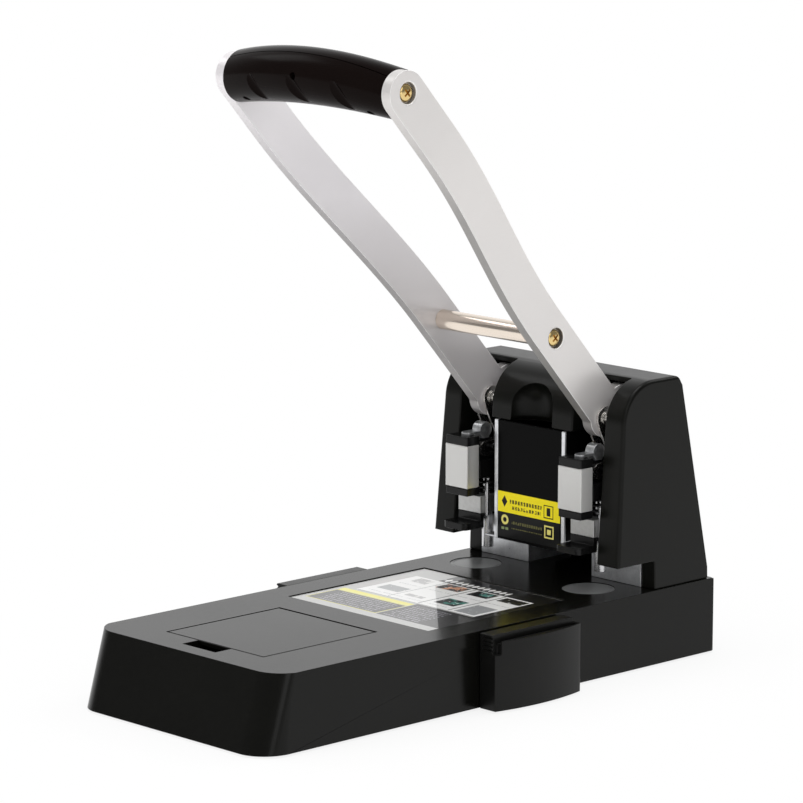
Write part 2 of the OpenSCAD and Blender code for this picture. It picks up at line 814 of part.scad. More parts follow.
// The wire clip round the guide block
module guide_clip(x) {
  clip_x = block_half + wire_radius;
  clip_y = stop_rear + wire_radius;
  clip_z = block_bottom - wire_radius;
  color([0.8, 0.8, 0.82]) {
    for (s = [-1, 1]) {
      translate([x + s * clip_x, clip_y, clip_z]) cylinder(h = wire_top - clip_z, r = wire_radius, $fn = 24);
      translate([x + s * clip_x, clip_y, clip_z]) sphere(r = wire_radius, $fn = 24);
      translate([x + s * clip_x, clip_y, wire_top]) sphere(r = wire_radius, $fn = 24);
    }
    along_x(x - clip_x, x + clip_x, clip_y, clip_z, wire_radius);
  }
}

// The black slide that carries the punch pin
module carriage(x) {
  color([0.05, 0.05, 0.05])
    difference() {
      union() {
        box([x - leg_half, leg_front + sleeve_wall - 0.2, leg_bottom], [x + leg_half, leg_back, leg_top]);
        box([x - block_half + 0.3, leg_front, leg_bottom], [x + block_half - 0.3, leg_back, sleeve_bottom]);
        box([x - block_half + 0.3, leg_front, sleeve_top], [x + block_half - 0.3, leg_back, leg_top]);
        box([x - leg_half, leg_back - 1, web_bottom], [x + leg_half, block_front + 2, web_top]);
        box([x - web_half, block_front, web_bottom], [x + web_half, stop_face - 0.4, web_top]);
        box([x - tongue_half, leg_back - 1, web_top - 1], [x + tongue_half, pin_y + 5, tongue_top]);
      }
      translate([x, pin_y, 0]) cylinder(h = web_top, r = pin_radius);
      translate([x, pin_y, 0]) cylinder(h = spring_end, r = pocket_radius);
      along_x(x - 20, x + 20, pin_y, cross_z, cross_radius);
    }
}

// The silver sleeve round the carriage leg
module sleeve(x) {
  color([0.75, 0.76, 0.77])
    difference() {
      box([x - block_half, sleeve_front, sleeve_bottom], [x + block_half, leg_back - 0.4, sleeve_top]);
      box([x - leg_half, sleeve_front + sleeve_wall, 0], [x + leg_half, stop_face, head_top]);
    }
}

// The zinc pressure pad on top of the carriage
module pressure_pad(x) {
  pad_z = tongue_top + pad_radius;
  color([0.7, 0.7, 0.7]) {
    along_x(x - tongue_half, x + tongue_half, pad_y, pad_z, pad_radius);
    box([x - tongue_half, pad_y - 2.4, tongue_top], [x + tongue_half, pad_y + 2.4, pad_z]);
    box([x - 3, leg_front + 7.7, leg_top], [x + 3, pad_y, leg_top + 1.2]);
    translate([x, leg_front + 7.7, leg_top]) cylinder(h = 1.2, r = 3);
  }
}

// The hollow punch pin
module punch_pin(x) {
  color([0.6, 0.6, 0.62])
    translate([x, pin_y, pin_tip])
      difference() {
        cylinder(h = web_top - pin_tip, r = pin_radius);
        translate([0, 0, -1]) cylinder(h = 35, r = pin_hollow);
      }
}

// Section of the wound wire, drawn as the curved slice that a level cut shows
module wire_slice(pitch) {
  reach = 360 * spring_wire / pitch;
  polygon([
    for (i = [0:9])
      let (t = 36 * i, a = reach * cos(t), r = spring_radius + spring_wire * sin(t))
        [r * cos(a), r * sin(a)]
  ]);
}

// The return spring round the punch pin
module return_spring(x) {
  rise = spring_end - spring_seat;
  color([0.65, 0.66, 0.68])
    translate([x, pin_y, spring_seat])
      linear_extrude(height = rise, twist = -360 * spring_turns, slices = 18 * spring_turns, $fn = 8)
        wire_slice(rise / spring_turns);
}

// The cross pin in the carriage tongue
module cross_pin(x) {
  color([0.7, 0.7, 0.72])
    along_x(x - strip_out - 0.6, x + strip_out + 0.6, pin_y, cross_z, cross_radius);
}

// Side view of a link strip with its lower slot
module link_strip() {
  difference() {
    union() {
      polygon([
        [link_y - link_eye * 0.98, link_z], [link_y - link_eye * 0.75, link_z - 5.2],
        [link_y - 2.7, link_z - 9], [link_y - 0.7, link_z - 13.2], [neck_front, link_z - 16.6],
        [neck_front, foot_bottom + 3], [neck_back, foot_bottom + 3], [neck_back, link_z - 6],
        [link_y + link_eye * 0.98, link_z]
      ]);
      translate([link_y, link_z]) circle(r = link_eye);
      translate([slot_front - 1.8, foot_bottom])
        square([neck_back - slot_front - 0.7, foot_top - foot_bottom]);
      translate([slot_front - 1.8, (foot_bottom + foot_top) / 2])
        circle(r = (foot_top - foot_bottom) / 2);
    }
    translate([link_y, link_z]) circle(r = link_pin_radius + link_play);
    translate([slot_front, slot_low - cross_radius])
      square([slot_back - slot_front, slot_high - slot_low + 2 * cross_radius]);
    translate([slot_front, (slot_low + slot_high) / 2])
      circle(r = (slot_high - slot_low) / 2 + cross_radius);
    translate([slot_back, (slot_low + slot_high) / 2])
      circle(r = (slot_high - slot_low) / 2 + cross_radius);
  }
}

// A link: two strips that straddle the arm and the tongue
module link(x) {
  color([0.8, 0.8, 0.8]) {
    side_plate(x - strip_out, x - strip_in) link_strip();
    side_plate(x + strip_in, x + strip_out) link_strip();
  }
}

// The two link pins with their heads
module link_pins() {
  color([0.75, 0.75, 0.77])
    for (x = [-half_pitch, half_pitch]) {
      along_x(x - strip_out - 0.9, x + strip_out + 1.9, link_y, link_z, link_pin_radius);
      along_x(x - strip_out - 0.9, x - strip_out - 0.05, link_y, link_z, 3.3);
    }
}

// The two clip rings on the link pins
module link_rings() {
  color([0.8, 0.8, 0.82])
    for (x = [-half_pitch, half_pitch])
      difference() {
        along_x(x + strip_out + 0.05, x + strip_out + 0.9, link_y, link_z, 3.3);
        along_x(x, x + 20, link_y, link_z, link_pin_radius);
      }
}

// The bend of an arm seen along its width: how far it has moved out
function bend(u) =
  u <= splay_start ? 0
  : u >= splay_start + splay_length ? arm_splay
  : arm_splay * (1 - cos(180 * (u - splay_start) / splay_length)) / 2;

// One flat lever arm
module arm(side) {
  steps = 24;
  stations = [
    -40, splay_start - 1,
    for (i = [0:steps]) splay_start + splay_length * i / steps,
    splay_start + splay_length + 1, grip_distance + 40
  ];
  last = len(stations) - 1;
  color([0.72, 0.73, 0.75])
    in_lever()
      mirror([side < 0 ? 1 : 0, 0, 0])
        difference() {
          intersection() {
            translate([0, 0, -50])
              linear_extrude(height = 120)
                polygon(concat(
                  [for (i = [0:last]) [half_pitch - arm_outer + bend(stations[i]), stations[i]]],
                  [for (i = [0:last])
                    [half_pitch + arm_outer + bend(stations[last - i]), stations[last - i]]]
                ));
            side_plate(half_pitch - 20, half_pitch + 60)
              union() {
                translate([link_along, arm_offset - arm_width / 2])
                  square([grip_distance - link_along, arm_width]);
                translate([grip_distance, arm_offset]) circle(r = arm_end, $fn = 96);
                circle(r = hub_radius, $fn = 96);
                translate([link_along, link_across]) circle(r = 9.6, $fn = 96);
              }
          }
          along_x(0, 100, 0, 0, shaft_radius + shaft_play);
          along_x(0, 100, link_along, link_across, link_pin_radius);
          for (p = [[rod_distance, arm_offset - 0.4, half_pitch], [grip_distance, arm_offset - 0.8, half_pitch + arm_splay]]) {
            along_x(p[2] - 10, p[2] + 10, p[0], p[1], shank_radius);
            along_x(p[2] + arm_outer - bore_depth, p[2] + 10, p[0], p[1], bore_radius);
          }
        }
}

// The whole grip before it is split
module grip_body() {
  bow_radius = (pow(grip_half, 2) + pow(grip_bow, 2)) / (2 * grip_bow);
  barrel = (pow(grip_half, 2) + pow(grip_belly, 2)) / (2 * grip_belly);
  in_lever()
    translate([0, grip_distance, arm_offset - 0.8])
      difference() {
        intersection() {
          translate([0, grip_bow - bow_radius, 0])
            rotate_extrude(angle = 360, $fn = 360)
              translate([bow_radius, 0]) circle(r = grip_radius, $fn = 72);
          along_x(-grip_half, grip_half, 0, 0, 30);
          rotate([0, 90, 0])
            rotate_extrude($fn = 96)
              intersection() {
                translate([grip_end + grip_belly - barrel, 0]) circle(r = barrel, $fn = 360);
                translate([0, -grip_half]) square([40, 2 * grip_half]);
              }
          translate([-60, -20, -30]) cube([120, 60, 60]);
        }
        for (x = [-30, 1.5, 34])
          translate([x, 2, grip_radius + 7.5 - groove_depth])
            rotate([90, 0, 32])
              translate([0, 0, -20]) cylinder(h = 40, r = 8);
        along_x(-100, 100, 0, 0, shank_radius);
      }
}

// The side of the parting surface that belongs to the upper half
module parting_space() {
  r = (pow(grip_half, 2) + pow(parting_bow, 2)) / (2 * parting_bow);
  in_lever()
    translate([0, grip_distance - 60, arm_offset - 0.8 - parting_bow - r])
      rotate([-90, 0, 0])
        cylinder(h = 120, r = r, $fn = 360);
}

// The upper half of the grip
module grip_upper() {
  color([0.05, 0.05, 0.05])
    intersection() {
      grip_body();
      parting_space();
    }
}

// The lower half of the grip with the finger grooves
module grip_lower() {
  color([0.06, 0.06, 0.06])
    difference() {
      grip_body();
      parting_space();
    }
}

// The plated rod between the arms
module cross_rod() {
  color([0.75, 0.75, 0.77])
    in_lever()
      difference() {
        along_x(-half_pitch + arm_outer, half_pitch - arm_outer, rod_distance, arm_offset - 0.4, rod_radius);
        along_x(-100, -half_pitch + 20, rod_distance, arm_offset - 0.4, shank_radius);
        along_x(half_pitch - 20, 100, rod_distance, arm_offset - 0.4, shank_radius);
      }
}

// One brass screw pointing to the middle, with its outer end at x
module brass_screw(x, y, z) {
  difference() {
    union() {
      along_x(x - head_plate, x, y, z, head_radius);
      along_x(x - head_plate - shank_length, x - head_plate, y, z, shank_radius);
    }
    box([x - 1, y - 2.3, z - 0.5], [x + 1, y + 2.3, z + 0.5]);
    box([x - 1, y - 0.5, z - 2.3], [x + 1, y + 0.5, z + 2.3]);
  }
}

// The four brass screws of the lever
module lever_screws() {
  color([0.75, 0.62, 0.3])
    in_lever()
      both_sides() {
        brass_screw(half_pitch + arm_outer - bore_depth + head_plate, rod_distance, arm_offset - 0.4);
        brass_screw(half_pitch + arm_splay + arm_outer - bore_depth + head_plate, grip_distance,
          arm_offset - 0.8);
      }
}

// The shaft that the lever turns on
module pivot_shaft() {
  color([0.7, 0.7, 0.72])
    along_x(-outer_frame - frame_plate - 2, outer_frame + frame_plate + 2, pivot_y, pivot_z, shaft_radius);
}

// Four stepped collars, one on each face of each arm
module pivot_collars() {
  color([0.85, 0.85, 0.85])
    both_sides()
      difference() {
        union() {
          along_x(dome_half + collar_gap, collar_in, pivot_y, pivot_z, collar_step);
          along_x(dome_half + collar_gap, collar_in - link_plate - 0.2, pivot_y, pivot_z, collar_radius);
          along_x(collar_out, cheek_inner - collar_gap, pivot_y, pivot_z, collar_step);
          along_x(collar_out + link_plate + 0.2, cheek_inner - collar_gap, pivot_y, pivot_z, collar_radius);
        }
        along_x(0, 80, pivot_y, pivot_z, shaft_radius + shaft_play);
      }
}

// Snap rings on the ends of the shaft
module shaft_clips() {
  clip_x = outer_frame + frame_plate;
  color([0.5, 0.5, 0.52])
    both_sides()
      difference() {
        along_x(clip_x, clip_x + 1, pivot_y, pivot_z, shaft_radius + 2.6);
        along_x(0, 80, pivot_y, pivot_z, shaft_radius);
        box([0, pivot_y - 2.6, pivot_z - 20], [80, pivot_y + 2.6, pivot_z]);
      }
}

base_housing();
bottom_cover();
rubber_feet();
bottom_screws();
disc(-half_pitch);  // disc_left
disc(half_pitch);  // disc_right
hatch_lid();
label_sheet();
guide_end(-1);  // guide_end_left
guide_end(1);  // guide_end_right
guide_bar(-1);  // guide_bar_left
guide_bar(1);  // guide_bar_right
head_cover();
cover_screws();
centre_panel();
panel_label();
frame(-1);  // frame_left
frame(1);  // frame_right
frame_screws();
guide_block(-half_pitch);  // guide_block_left
guide_block(half_pitch);  // guide_block_right
stop_block(-half_pitch);  // stop_block_left
stop_block(half_pitch);  // stop_block_right
guide_clip(-half_pitch);  // guide_clip_left
guide_clip(half_pitch);  // guide_clip_right
carriage(-half_pitch);  // carriage_left
carriage(half_pitch);  // carriage_right
sleeve(-half_pitch);  // sleeve_left
sleeve(half_pitch);  // sleeve_right
pressure_pad(-half_pitch);  // pressure_pad_left
pressure_pad(half_pitch);  // pressure_pad_right
punch_pin(-half_pitch);  // punch_pin_left
punch_pin(half_pitch);  // punch_pin_right
return_spring(-half_pitch);  // return_spring_left
return_spring(half_pitch);  // return_spring_right
cross_pin(-half_pitch);  // cross_pin_left
cross_pin(half_pitch);  // cross_pin_right
link(-half_pitch);  // link_left
link(half_pitch);  // link_right
link_pins();
link_rings();
arm(-1);  // arm_left
arm(1);  // arm_right
grip_upper();
grip_lower();
cross_rod();
lever_screws();
pivot_shaft();
pivot_collars();
shaft_clips();
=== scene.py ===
"""Dressing of the heavy-duty two-hole punch: finishes, rounded edges, studio and camera."""

import logging
import math
from collections import Counter
from dataclasses import dataclass, field
from enum import Enum
from typing import Any, Callable, Union

import bpy
from mathutils import Matrix, Vector

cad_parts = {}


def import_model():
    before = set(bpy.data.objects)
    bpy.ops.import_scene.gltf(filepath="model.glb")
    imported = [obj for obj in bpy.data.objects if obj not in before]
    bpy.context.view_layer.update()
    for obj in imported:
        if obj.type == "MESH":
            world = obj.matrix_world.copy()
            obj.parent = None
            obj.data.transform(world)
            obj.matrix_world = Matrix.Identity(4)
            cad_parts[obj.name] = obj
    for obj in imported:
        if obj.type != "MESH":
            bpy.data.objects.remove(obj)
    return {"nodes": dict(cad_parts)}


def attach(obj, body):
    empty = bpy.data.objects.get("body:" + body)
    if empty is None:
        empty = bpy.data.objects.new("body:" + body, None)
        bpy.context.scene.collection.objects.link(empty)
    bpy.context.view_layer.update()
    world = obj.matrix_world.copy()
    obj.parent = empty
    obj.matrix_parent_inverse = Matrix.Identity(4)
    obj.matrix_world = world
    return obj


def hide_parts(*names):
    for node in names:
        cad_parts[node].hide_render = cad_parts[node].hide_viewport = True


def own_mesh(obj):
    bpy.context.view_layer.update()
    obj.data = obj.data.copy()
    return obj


LOG = logging.getLogger("punch")
MM = 0.001
Point = tuple[float, float, float]
Colour = tuple[float, float, float]
Value = Union["Signal", float]
Piece = bpy.types.Object

# The lever's shaft in Y and Z, in millimetres, and the tilt of its arms, in degrees
PIVOT = (110.3, 127.2)
TILT = 132.1
# From the lever's own frame, with Y along the arms, to the frame of the punch
LEVER_FRAME = (
    Matrix.Translation((0, PIVOT[0] * MM, PIVOT[1] * MM)) @ Matrix.Rotation(math.radians(TILT), 4, "X"))
# The cross rod and the grip in the lever's own frame: millimetres along the arms and off them
ROD_SPOT = (63.0, 7.9)
GRIP_SPOT = (238.7, 7.5)
# Marks on the faces of an arm, where its finish paints shade on rims and bore walls and a
# highlight on rounded edges, and how far a bore's wall is from its middle
ARM_MARKS = ("rim", "glint", "bore")
BORE_REACH = 5.6
# Distance in metres under which two corners are one
MERGE = 2e-6


class Side(Enum):
    """The two sides of the punch, with the sign of their X."""

    LEFT = -1
    RIGHT = 1

    @property
    def word(self) -> str:
        """The side as it stands in the names of the nodes."""
        return self.name.lower()


# Shader wiring


def operation(kind: str, swapped: bool = False) -> Callable[..., "Signal"]:
    """Make a method of a signal that adds one Math node.

    Args:
        kind: The operation of the node.
        swapped: Whether the other value comes first.

    Returns:
        The method.
    """

    def method(self: "Signal", *others: Value) -> "Signal":
        """The outcome of the operation."""
        values = (*others, self) if swapped else (self, *others)
        made = self.wiring.node("ShaderNodeMath", {"operation": kind}, dict(enumerate(values)))
        return Signal(self.wiring, made.outputs[0])

    return method


class Signal:
    """One output socket that can be used in sums as if it were a number."""

    def __init__(self, wiring: "Wiring", socket: bpy.types.NodeSocket) -> None:
        """Keep the socket and the wiring that it belongs to."""
        self.wiring = wiring
        self.socket = socket

    __add__ = __radd__ = operation("ADD")
    __sub__ = operation("SUBTRACT")
    __rsub__ = operation("SUBTRACT", swapped=True)
    __mul__ = __rmul__ = operation("MULTIPLY")
    __truediv__ = operation("DIVIDE")
    __pow__ = operation("POWER")
    __gt__ = operation("GREATER_THAN")
    __lt__ = operation("LESS_THAN")
    __abs__ = operation("ABSOLUTE")
    # What is left over after whole steps, never negative
    __mod__ = operation("FLOORED_MODULO")
    # The smaller and the greater of two
    at_most = operation("MINIMUM")
    at_least = operation("MAXIMUM")

    def between(self, low: float, high: float) -> "Signal":
        """One between two bounds."""
        return (self > low) * (self < high)

    def under(self, level: float, rate: float, least: float, most: float) -> "Signal":
        """A share that grows below a level.

        Args:
            level: Where it starts.
            rate: Its growth in a metre.
            least: Its smallest value.
            most: Its greatest value.

        Returns:
            The share.
        """
        return ((level - self) * rate).at_least(least).at_most(most)


class Wiring:
    """The node tree of one material or world."""

    def __init__(self, tree: bpy.types.NodeTree) -> None:
        """Start from an empty tree."""
        self.tree = tree
        tree.nodes.clear()

    def node(
        self,
        kind: str,
        settings: dict[str, Any] | None = None,
        inputs: dict[str | int, Any] | None = None,
    ) -> bpy.types.Node:
        """Add any node.

        Args:
            kind: The type of the node.
            settings: Its properties, set first; "stops" are the stops of a colour ramp.
            inputs: Values or signals by socket name or number.

        Returns:
            The node.
        """
        made = self.tree.nodes.new(kind)
        for key, value in (settings or {}).items():
            if key != "stops":
                setattr(made, key, value)
                continue
            elements = made.color_ramp.elements
            while len(elements) > 1:
                elements.remove(elements[-1])
            elements[0].position, elements[0].color = value[0][0], (*value[0][1], 1)
            for place, colour in value[1:]:
                elements.new(place).color = (*colour, 1)
        for key, value in (inputs or {}).items():
            socket = made.inputs[key]
            if isinstance(value, Signal):
                self.tree.links.new(value.socket, socket)
            elif isinstance(value, tuple) and len(value) == 3 and socket.type == "RGBA":
                socket.default_value = (*value, 1)
            else:
                socket.default_value = value
        return made

    def signal(self, made: bpy.types.Node, output: str | int = 0) -> Signal:
        """One output of a node as a signal."""
        return Signal(self, made.outputs[output])

    def blend(self, factor: Any, first: Any, second: Any) -> Signal:
        """Mix two colours.

        Args:
            factor: How much of the second colour shows.
            first: Colour or signal.
            second: Colour or signal.

        Returns:
            The mixed colour.
        """
        made = self.node("ShaderNodeMix", {"data_type": "RGBA"}, {0: factor, 6: first, 7: second})
        return Signal(self, made.outputs[2])

    def place(self, turn: Point = (0, 0, 0), stretch: Point = (1, 1, 1)) -> Signal:
        """Object coordinates, turned and stretched.

        Args:
            turn: Turns in degrees.
            stretch: Factors along the axes.

        Returns:
            The coordinates.
        """
        raw = self.signal(self.node("ShaderNodeTexCoord"), "Object")
        angles = tuple(math.radians(a) for a in turn)
        made = self.node("ShaderNodeMapping", {}, {0: raw, 2: angles, 3: stretch})
        return self.signal(made)

    def noise(
        self, scale: float, detail: float = 2, roughness: float = 0.5, at: Signal | None = None
    ) -> Signal:
        """A noise pattern.

        Args:
            scale: Size of the pattern, as cells in a metre.
            detail: Octaves.
            roughness: Share of the fine octaves.
            at: Coordinates, or None for plain object coordinates.

        Returns:
            The value of the pattern, about one half on average.
        """
        inputs = {"Vector": at or self.place(), "Scale": scale, "Detail": detail, "Roughness": roughness}
        return self.signal(self.node("ShaderNodeTexNoise", {}, inputs))

    def bump(self, height: Signal, strength: float, distance: float) -> Signal:
        """A bump from a height.

        Args:
            height: The height signal.
            strength: Strength of the bump.
            distance: Full height in metres.

        Returns:
            The bumped normal.
        """
        inputs = {"Strength": strength, "Distance": distance, "Height": height}
        return self.signal(self.node("ShaderNodeBump", {}, inputs))

    def mix(self, share: Signal, first: bpy.types.Node, second: bpy.types.Node) -> bpy.types.Node:
        """Mix two shaders; share is how much of the second shows."""
        inputs = {0: share, 1: self.signal(first), 2: self.signal(second)}
        return self.node("ShaderNodeMixShader", {}, inputs)

    def axes(self, at: Signal | None = None) -> list[Signal]:
        """The X, Y and Z of some coordinates, or of plain object coordinates."""
        apart = self.node("ShaderNodeSeparateXYZ", {}, {0: at or self.place()})
        return [self.signal(apart, number) for number in range(3)]

    def mark(self, name: str) -> Signal:
        """A mark on the faces of the piece, from nothing to one."""
        return self.signal(self.node("ShaderNodeAttribute", {"attribute_name": name}), "Fac")


# Finishes


def shades(colour: Colour, shift: float) -> tuple[Colour, Colour]:
    """A darker and a lighter shade of a colour, both by one share."""
    return tuple(c * (1 - shift) for c in colour), tuple(min(1.0, c * (1 + shift)) for c in colour)


@dataclass(frozen=True)
class Finish:
    """What all finishes share."""

    name: str

    def wire(self, wiring: Wiring) -> dict[str, Any]:
        """The inputs of the shader, which each finish gives."""
        raise NotImplementedError

    def material(self) -> bpy.types.Material:
        """The finished material, with one shader."""
        material = bpy.data.materials.new(self.name)
        material.use_nodes = True
        wiring = Wiring(material.node_tree)
        shader = wiring.node("ShaderNodeBsdfPrincipled", {}, self.wire(wiring))
        wiring.node("ShaderNodeOutputMaterial", {}, {0: wiring.signal(shader)})
        return material


@dataclass(frozen=True)
class MouldedPlastic(Finish):
    """Injection-moulded plastic with a spark-eroded grain.

    Sizes are in metres; tone_shift is the share by which the colour wanders.
    """

    colour: Colour
    roughness: float
    grain: float
    strength: float
    reflection: float = 0.3
    tone_shift: float = 0.25
    depth: float = 0.00003
    clouds: float = 16.0

    def wire(self, wiring: Wiring) -> dict[str, Any]:
        """Clouded colour, uneven gloss and a fine grain.

        Args:
            wiring: The tree of the material.

        Returns:
            The inputs of the shader.
        """
        cloud = wiring.noise(self.clouds, 3)
        fine = wiring.noise(1 / self.grain, 2, 0.6)
        specks = wiring.noise(0.28 / self.grain, 1)
        return {
            "Base Color": wiring.blend(cloud * 0.7 + specks * 0.3, *shades(self.colour, self.tone_shift)),
            "Roughness": self.roughness + (cloud - 0.5) * 0.10 + (specks - 0.5) * 0.06,
            "Normal": wiring.bump(fine, self.strength, self.depth),
            "Specular IOR Level": self.reflection,
        }


@dataclass(frozen=True)
class SatinMetal(Finish):
    """Blasted and anodised aluminium, or another satin metal with a fine grain along one way."""

    colour: Colour
    roughness: float
    metal: float
    stretch: Point = (1.0, 1.0, 1.0)
    turn: Point = (0.0, 0.0, 0.0)
    grain: float = 0.0006
    depth: float = 0.00001
    strength: float = 0.25
    tone_shift: float = 0.05
    clouds: float = 22.0

    def wire(self, wiring: Wiring) -> dict[str, Any]:
        """A slightly clouded colour and a fine stretched grain.

        Args:
            wiring: The tree of the material.

        Returns:
            The inputs of the shader.
        """
        lines = wiring.noise(1 / self.grain, 2, 0.6, wiring.place(self.turn, stretch=self.stretch))
        cloud = wiring.noise(self.clouds, 2)
        return {
            "Base Color": wiring.blend(lines * 0.4 + cloud * 0.6, *shades(self.colour, self.tone_shift)),
            "Roughness": self.roughness + (cloud - 0.5) * 0.08 + (lines - 0.5) * 0.12,
            "Normal": wiring.bump(lines, self.strength, self.depth),
            "Metallic": self.metal,
        }


@dataclass(frozen=True)
class ArmMetal(SatinMetal):
    """The satin metal of the arms, with painted light: a lighter left arm, painted shade on the low
    ends, rims and bores, and a painted highlight on the rounded edges.

    far is the lighter colour painted on the left arm, far_low and near_low the painted shade towards
    the head, edge the painted highlight and the dark rim colour the painted shade. A fade is the
    height below which it grows, its growth in a metre, its smallest and its greatest share.
    """

    far: Colour = (0.96, 0.93, 0.95)
    far_low: Colour = (0.42, 0.40, 0.39)
    near_low: Colour = (0.36, 0.34, 0.34)
    edge: Colour = (0.98, 0.97, 0.96)
    shaded_rim: Colour = (0.06, 0.055, 0.05)
    far_fade: tuple[float, ...] = (0.235, 11, 0.0, 0.55)
    near_fade: tuple[float, ...] = (0.150, 18, 0.0, 0.42)
    rim_fade: tuple[float, ...] = (0.305, 14, 0.2, 1.0)

    def wire(self, wiring: Wiring) -> dict[str, Any]:
        """Add painted light: a lighter left arm, painted shade on the low ends, rims and bores,
        and a painted highlight on the rounded edges.

        Args:
            wiring: The tree of the material.

        Returns:
            The inputs of the shader.
        """
        values = super().wire(wiring)
        across, _, height = wiring.axes()
        rim, glint, bore = (wiring.mark(name) for name in ARM_MARKS)
        # Painted light: the left arm is lighter, and painted shade darkens both arms towards their low
        # ends
        far = wiring.blend(wiring.noise(30, 2), shades(self.far, 0.03)[0], self.far)
        far = wiring.blend(height.under(*self.far_fade), far, self.far_low)
        near = wiring.blend(height.under(*self.near_fade), values["Base Color"], self.near_low)
        # Painted highlight on the rounded edges, where the glint mark is set
        face = wiring.blend(glint * 0.75, wiring.blend(across < 0.0, near, far), self.edge)
        # Painted shade on the rims, less towards the top, and on the bore walls
        painted_shade = rim * height.under(*self.rim_fade) * 0.62 + bore * 0.5
        values["Base Color"] = wiring.blend(painted_shade.at_most(0.85), face, self.shaded_rim)
        return values


@dataclass(frozen=True)
class CastZinc(Finish):
    """Zinc-plated or cast grey metal with blotches.

    blackened is the half width, the height and the depth in metres beyond which black is
    painted on as shade.
    """

    colour: Colour
    dark: Colour
    roughness: float
    blotch: float
    blackened: Point | None = None
    depth: float = 0.00004
    strength: float = 0.3
    metal: float = 0.85
    black: Colour = (0.012, 0.012, 0.012)

    def wire(self, wiring: Wiring) -> dict[str, Any]:
        """Blotches of two tones over a slightly uneven surface, with black painted as shade where set.

        Args:
            wiring: The tree of the material.

        Returns:
            The inputs of the shader.
        """
        blotches = wiring.noise(1 / self.blotch, 4, 0.6)
        fine = wiring.noise(6 / self.blotch, 2)
        stops = [(0.35, self.dark), (0.62, self.colour)]
        ramp = wiring.node("ShaderNodeValToRGB", {"stops": stops}, {0: blotches * 0.7 + fine * 0.3})
        colour = wiring.signal(ramp)
        # Painted shade: black beyond the half width, above the height and behind the depth, inside the
        # head
        if self.blackened:
            x, y, z = wiring.axes()
            wide, high, deep = self.blackened
            colour = wiring.blend((abs(x) > wide) * (z > high) * (y > deep), colour, self.black)
        return {
            "Base Color": colour,
            "Roughness": self.roughness + (blotches - 0.5) * 0.25,
            "Normal": wiring.bump(blotches * 0.5 + fine * 0.5, self.strength, self.depth),
            "Metallic": self.metal,
        }


class Drawing:
    """Fields of colour laid over one another on a flat print, in millimetres."""

    def __init__(self, wiring: Wiring, across: Signal, up: Signal, ground: Colour) -> None:
        """Start from a plain ground."""
        self.wiring = wiring
        self.x = across / MM
        self.y = up / MM
        self.colour: Any = ground

    def box(self, x0: float, x1: float, y0: float, y1: float) -> Signal:
        """One inside a rectangle."""
        return self.x.between(x0, x1) * self.y.between(y0, y1)

    def outline(self, x0: float, x1: float, y0: float, y1: float, line: float) -> Signal:
        """One on the outline of a rectangle."""
        return self.box(x0, x1, y0, y1) - self.box(x0 + line, x1 - line, y0 + line, y1 - line)

    def lay(self, mask: Signal, colour: Any, share: float = 1.0) -> None:
        """Lay a colour over what is there.

        Args:
            mask: Where it lies.
            colour: The colour or a signal of one.
            share: How dense it is.
        """
        self.colour = self.wiring.blend(mask.at_most(1.0) * share, self.colour, colour)


def stripes(along: Signal, rate: float, low: float, high: float) -> Signal:
    """One on evenly spaced stripes.

    Args:
        along: Place across the stripes.
        rate: Stripes in a millimetre.
        low: Start of a stripe, as a share of its step.
        high: Its end.

    Returns:
        The stripes.
    """
    return ((along * rate) % 1.0).between(low, high)


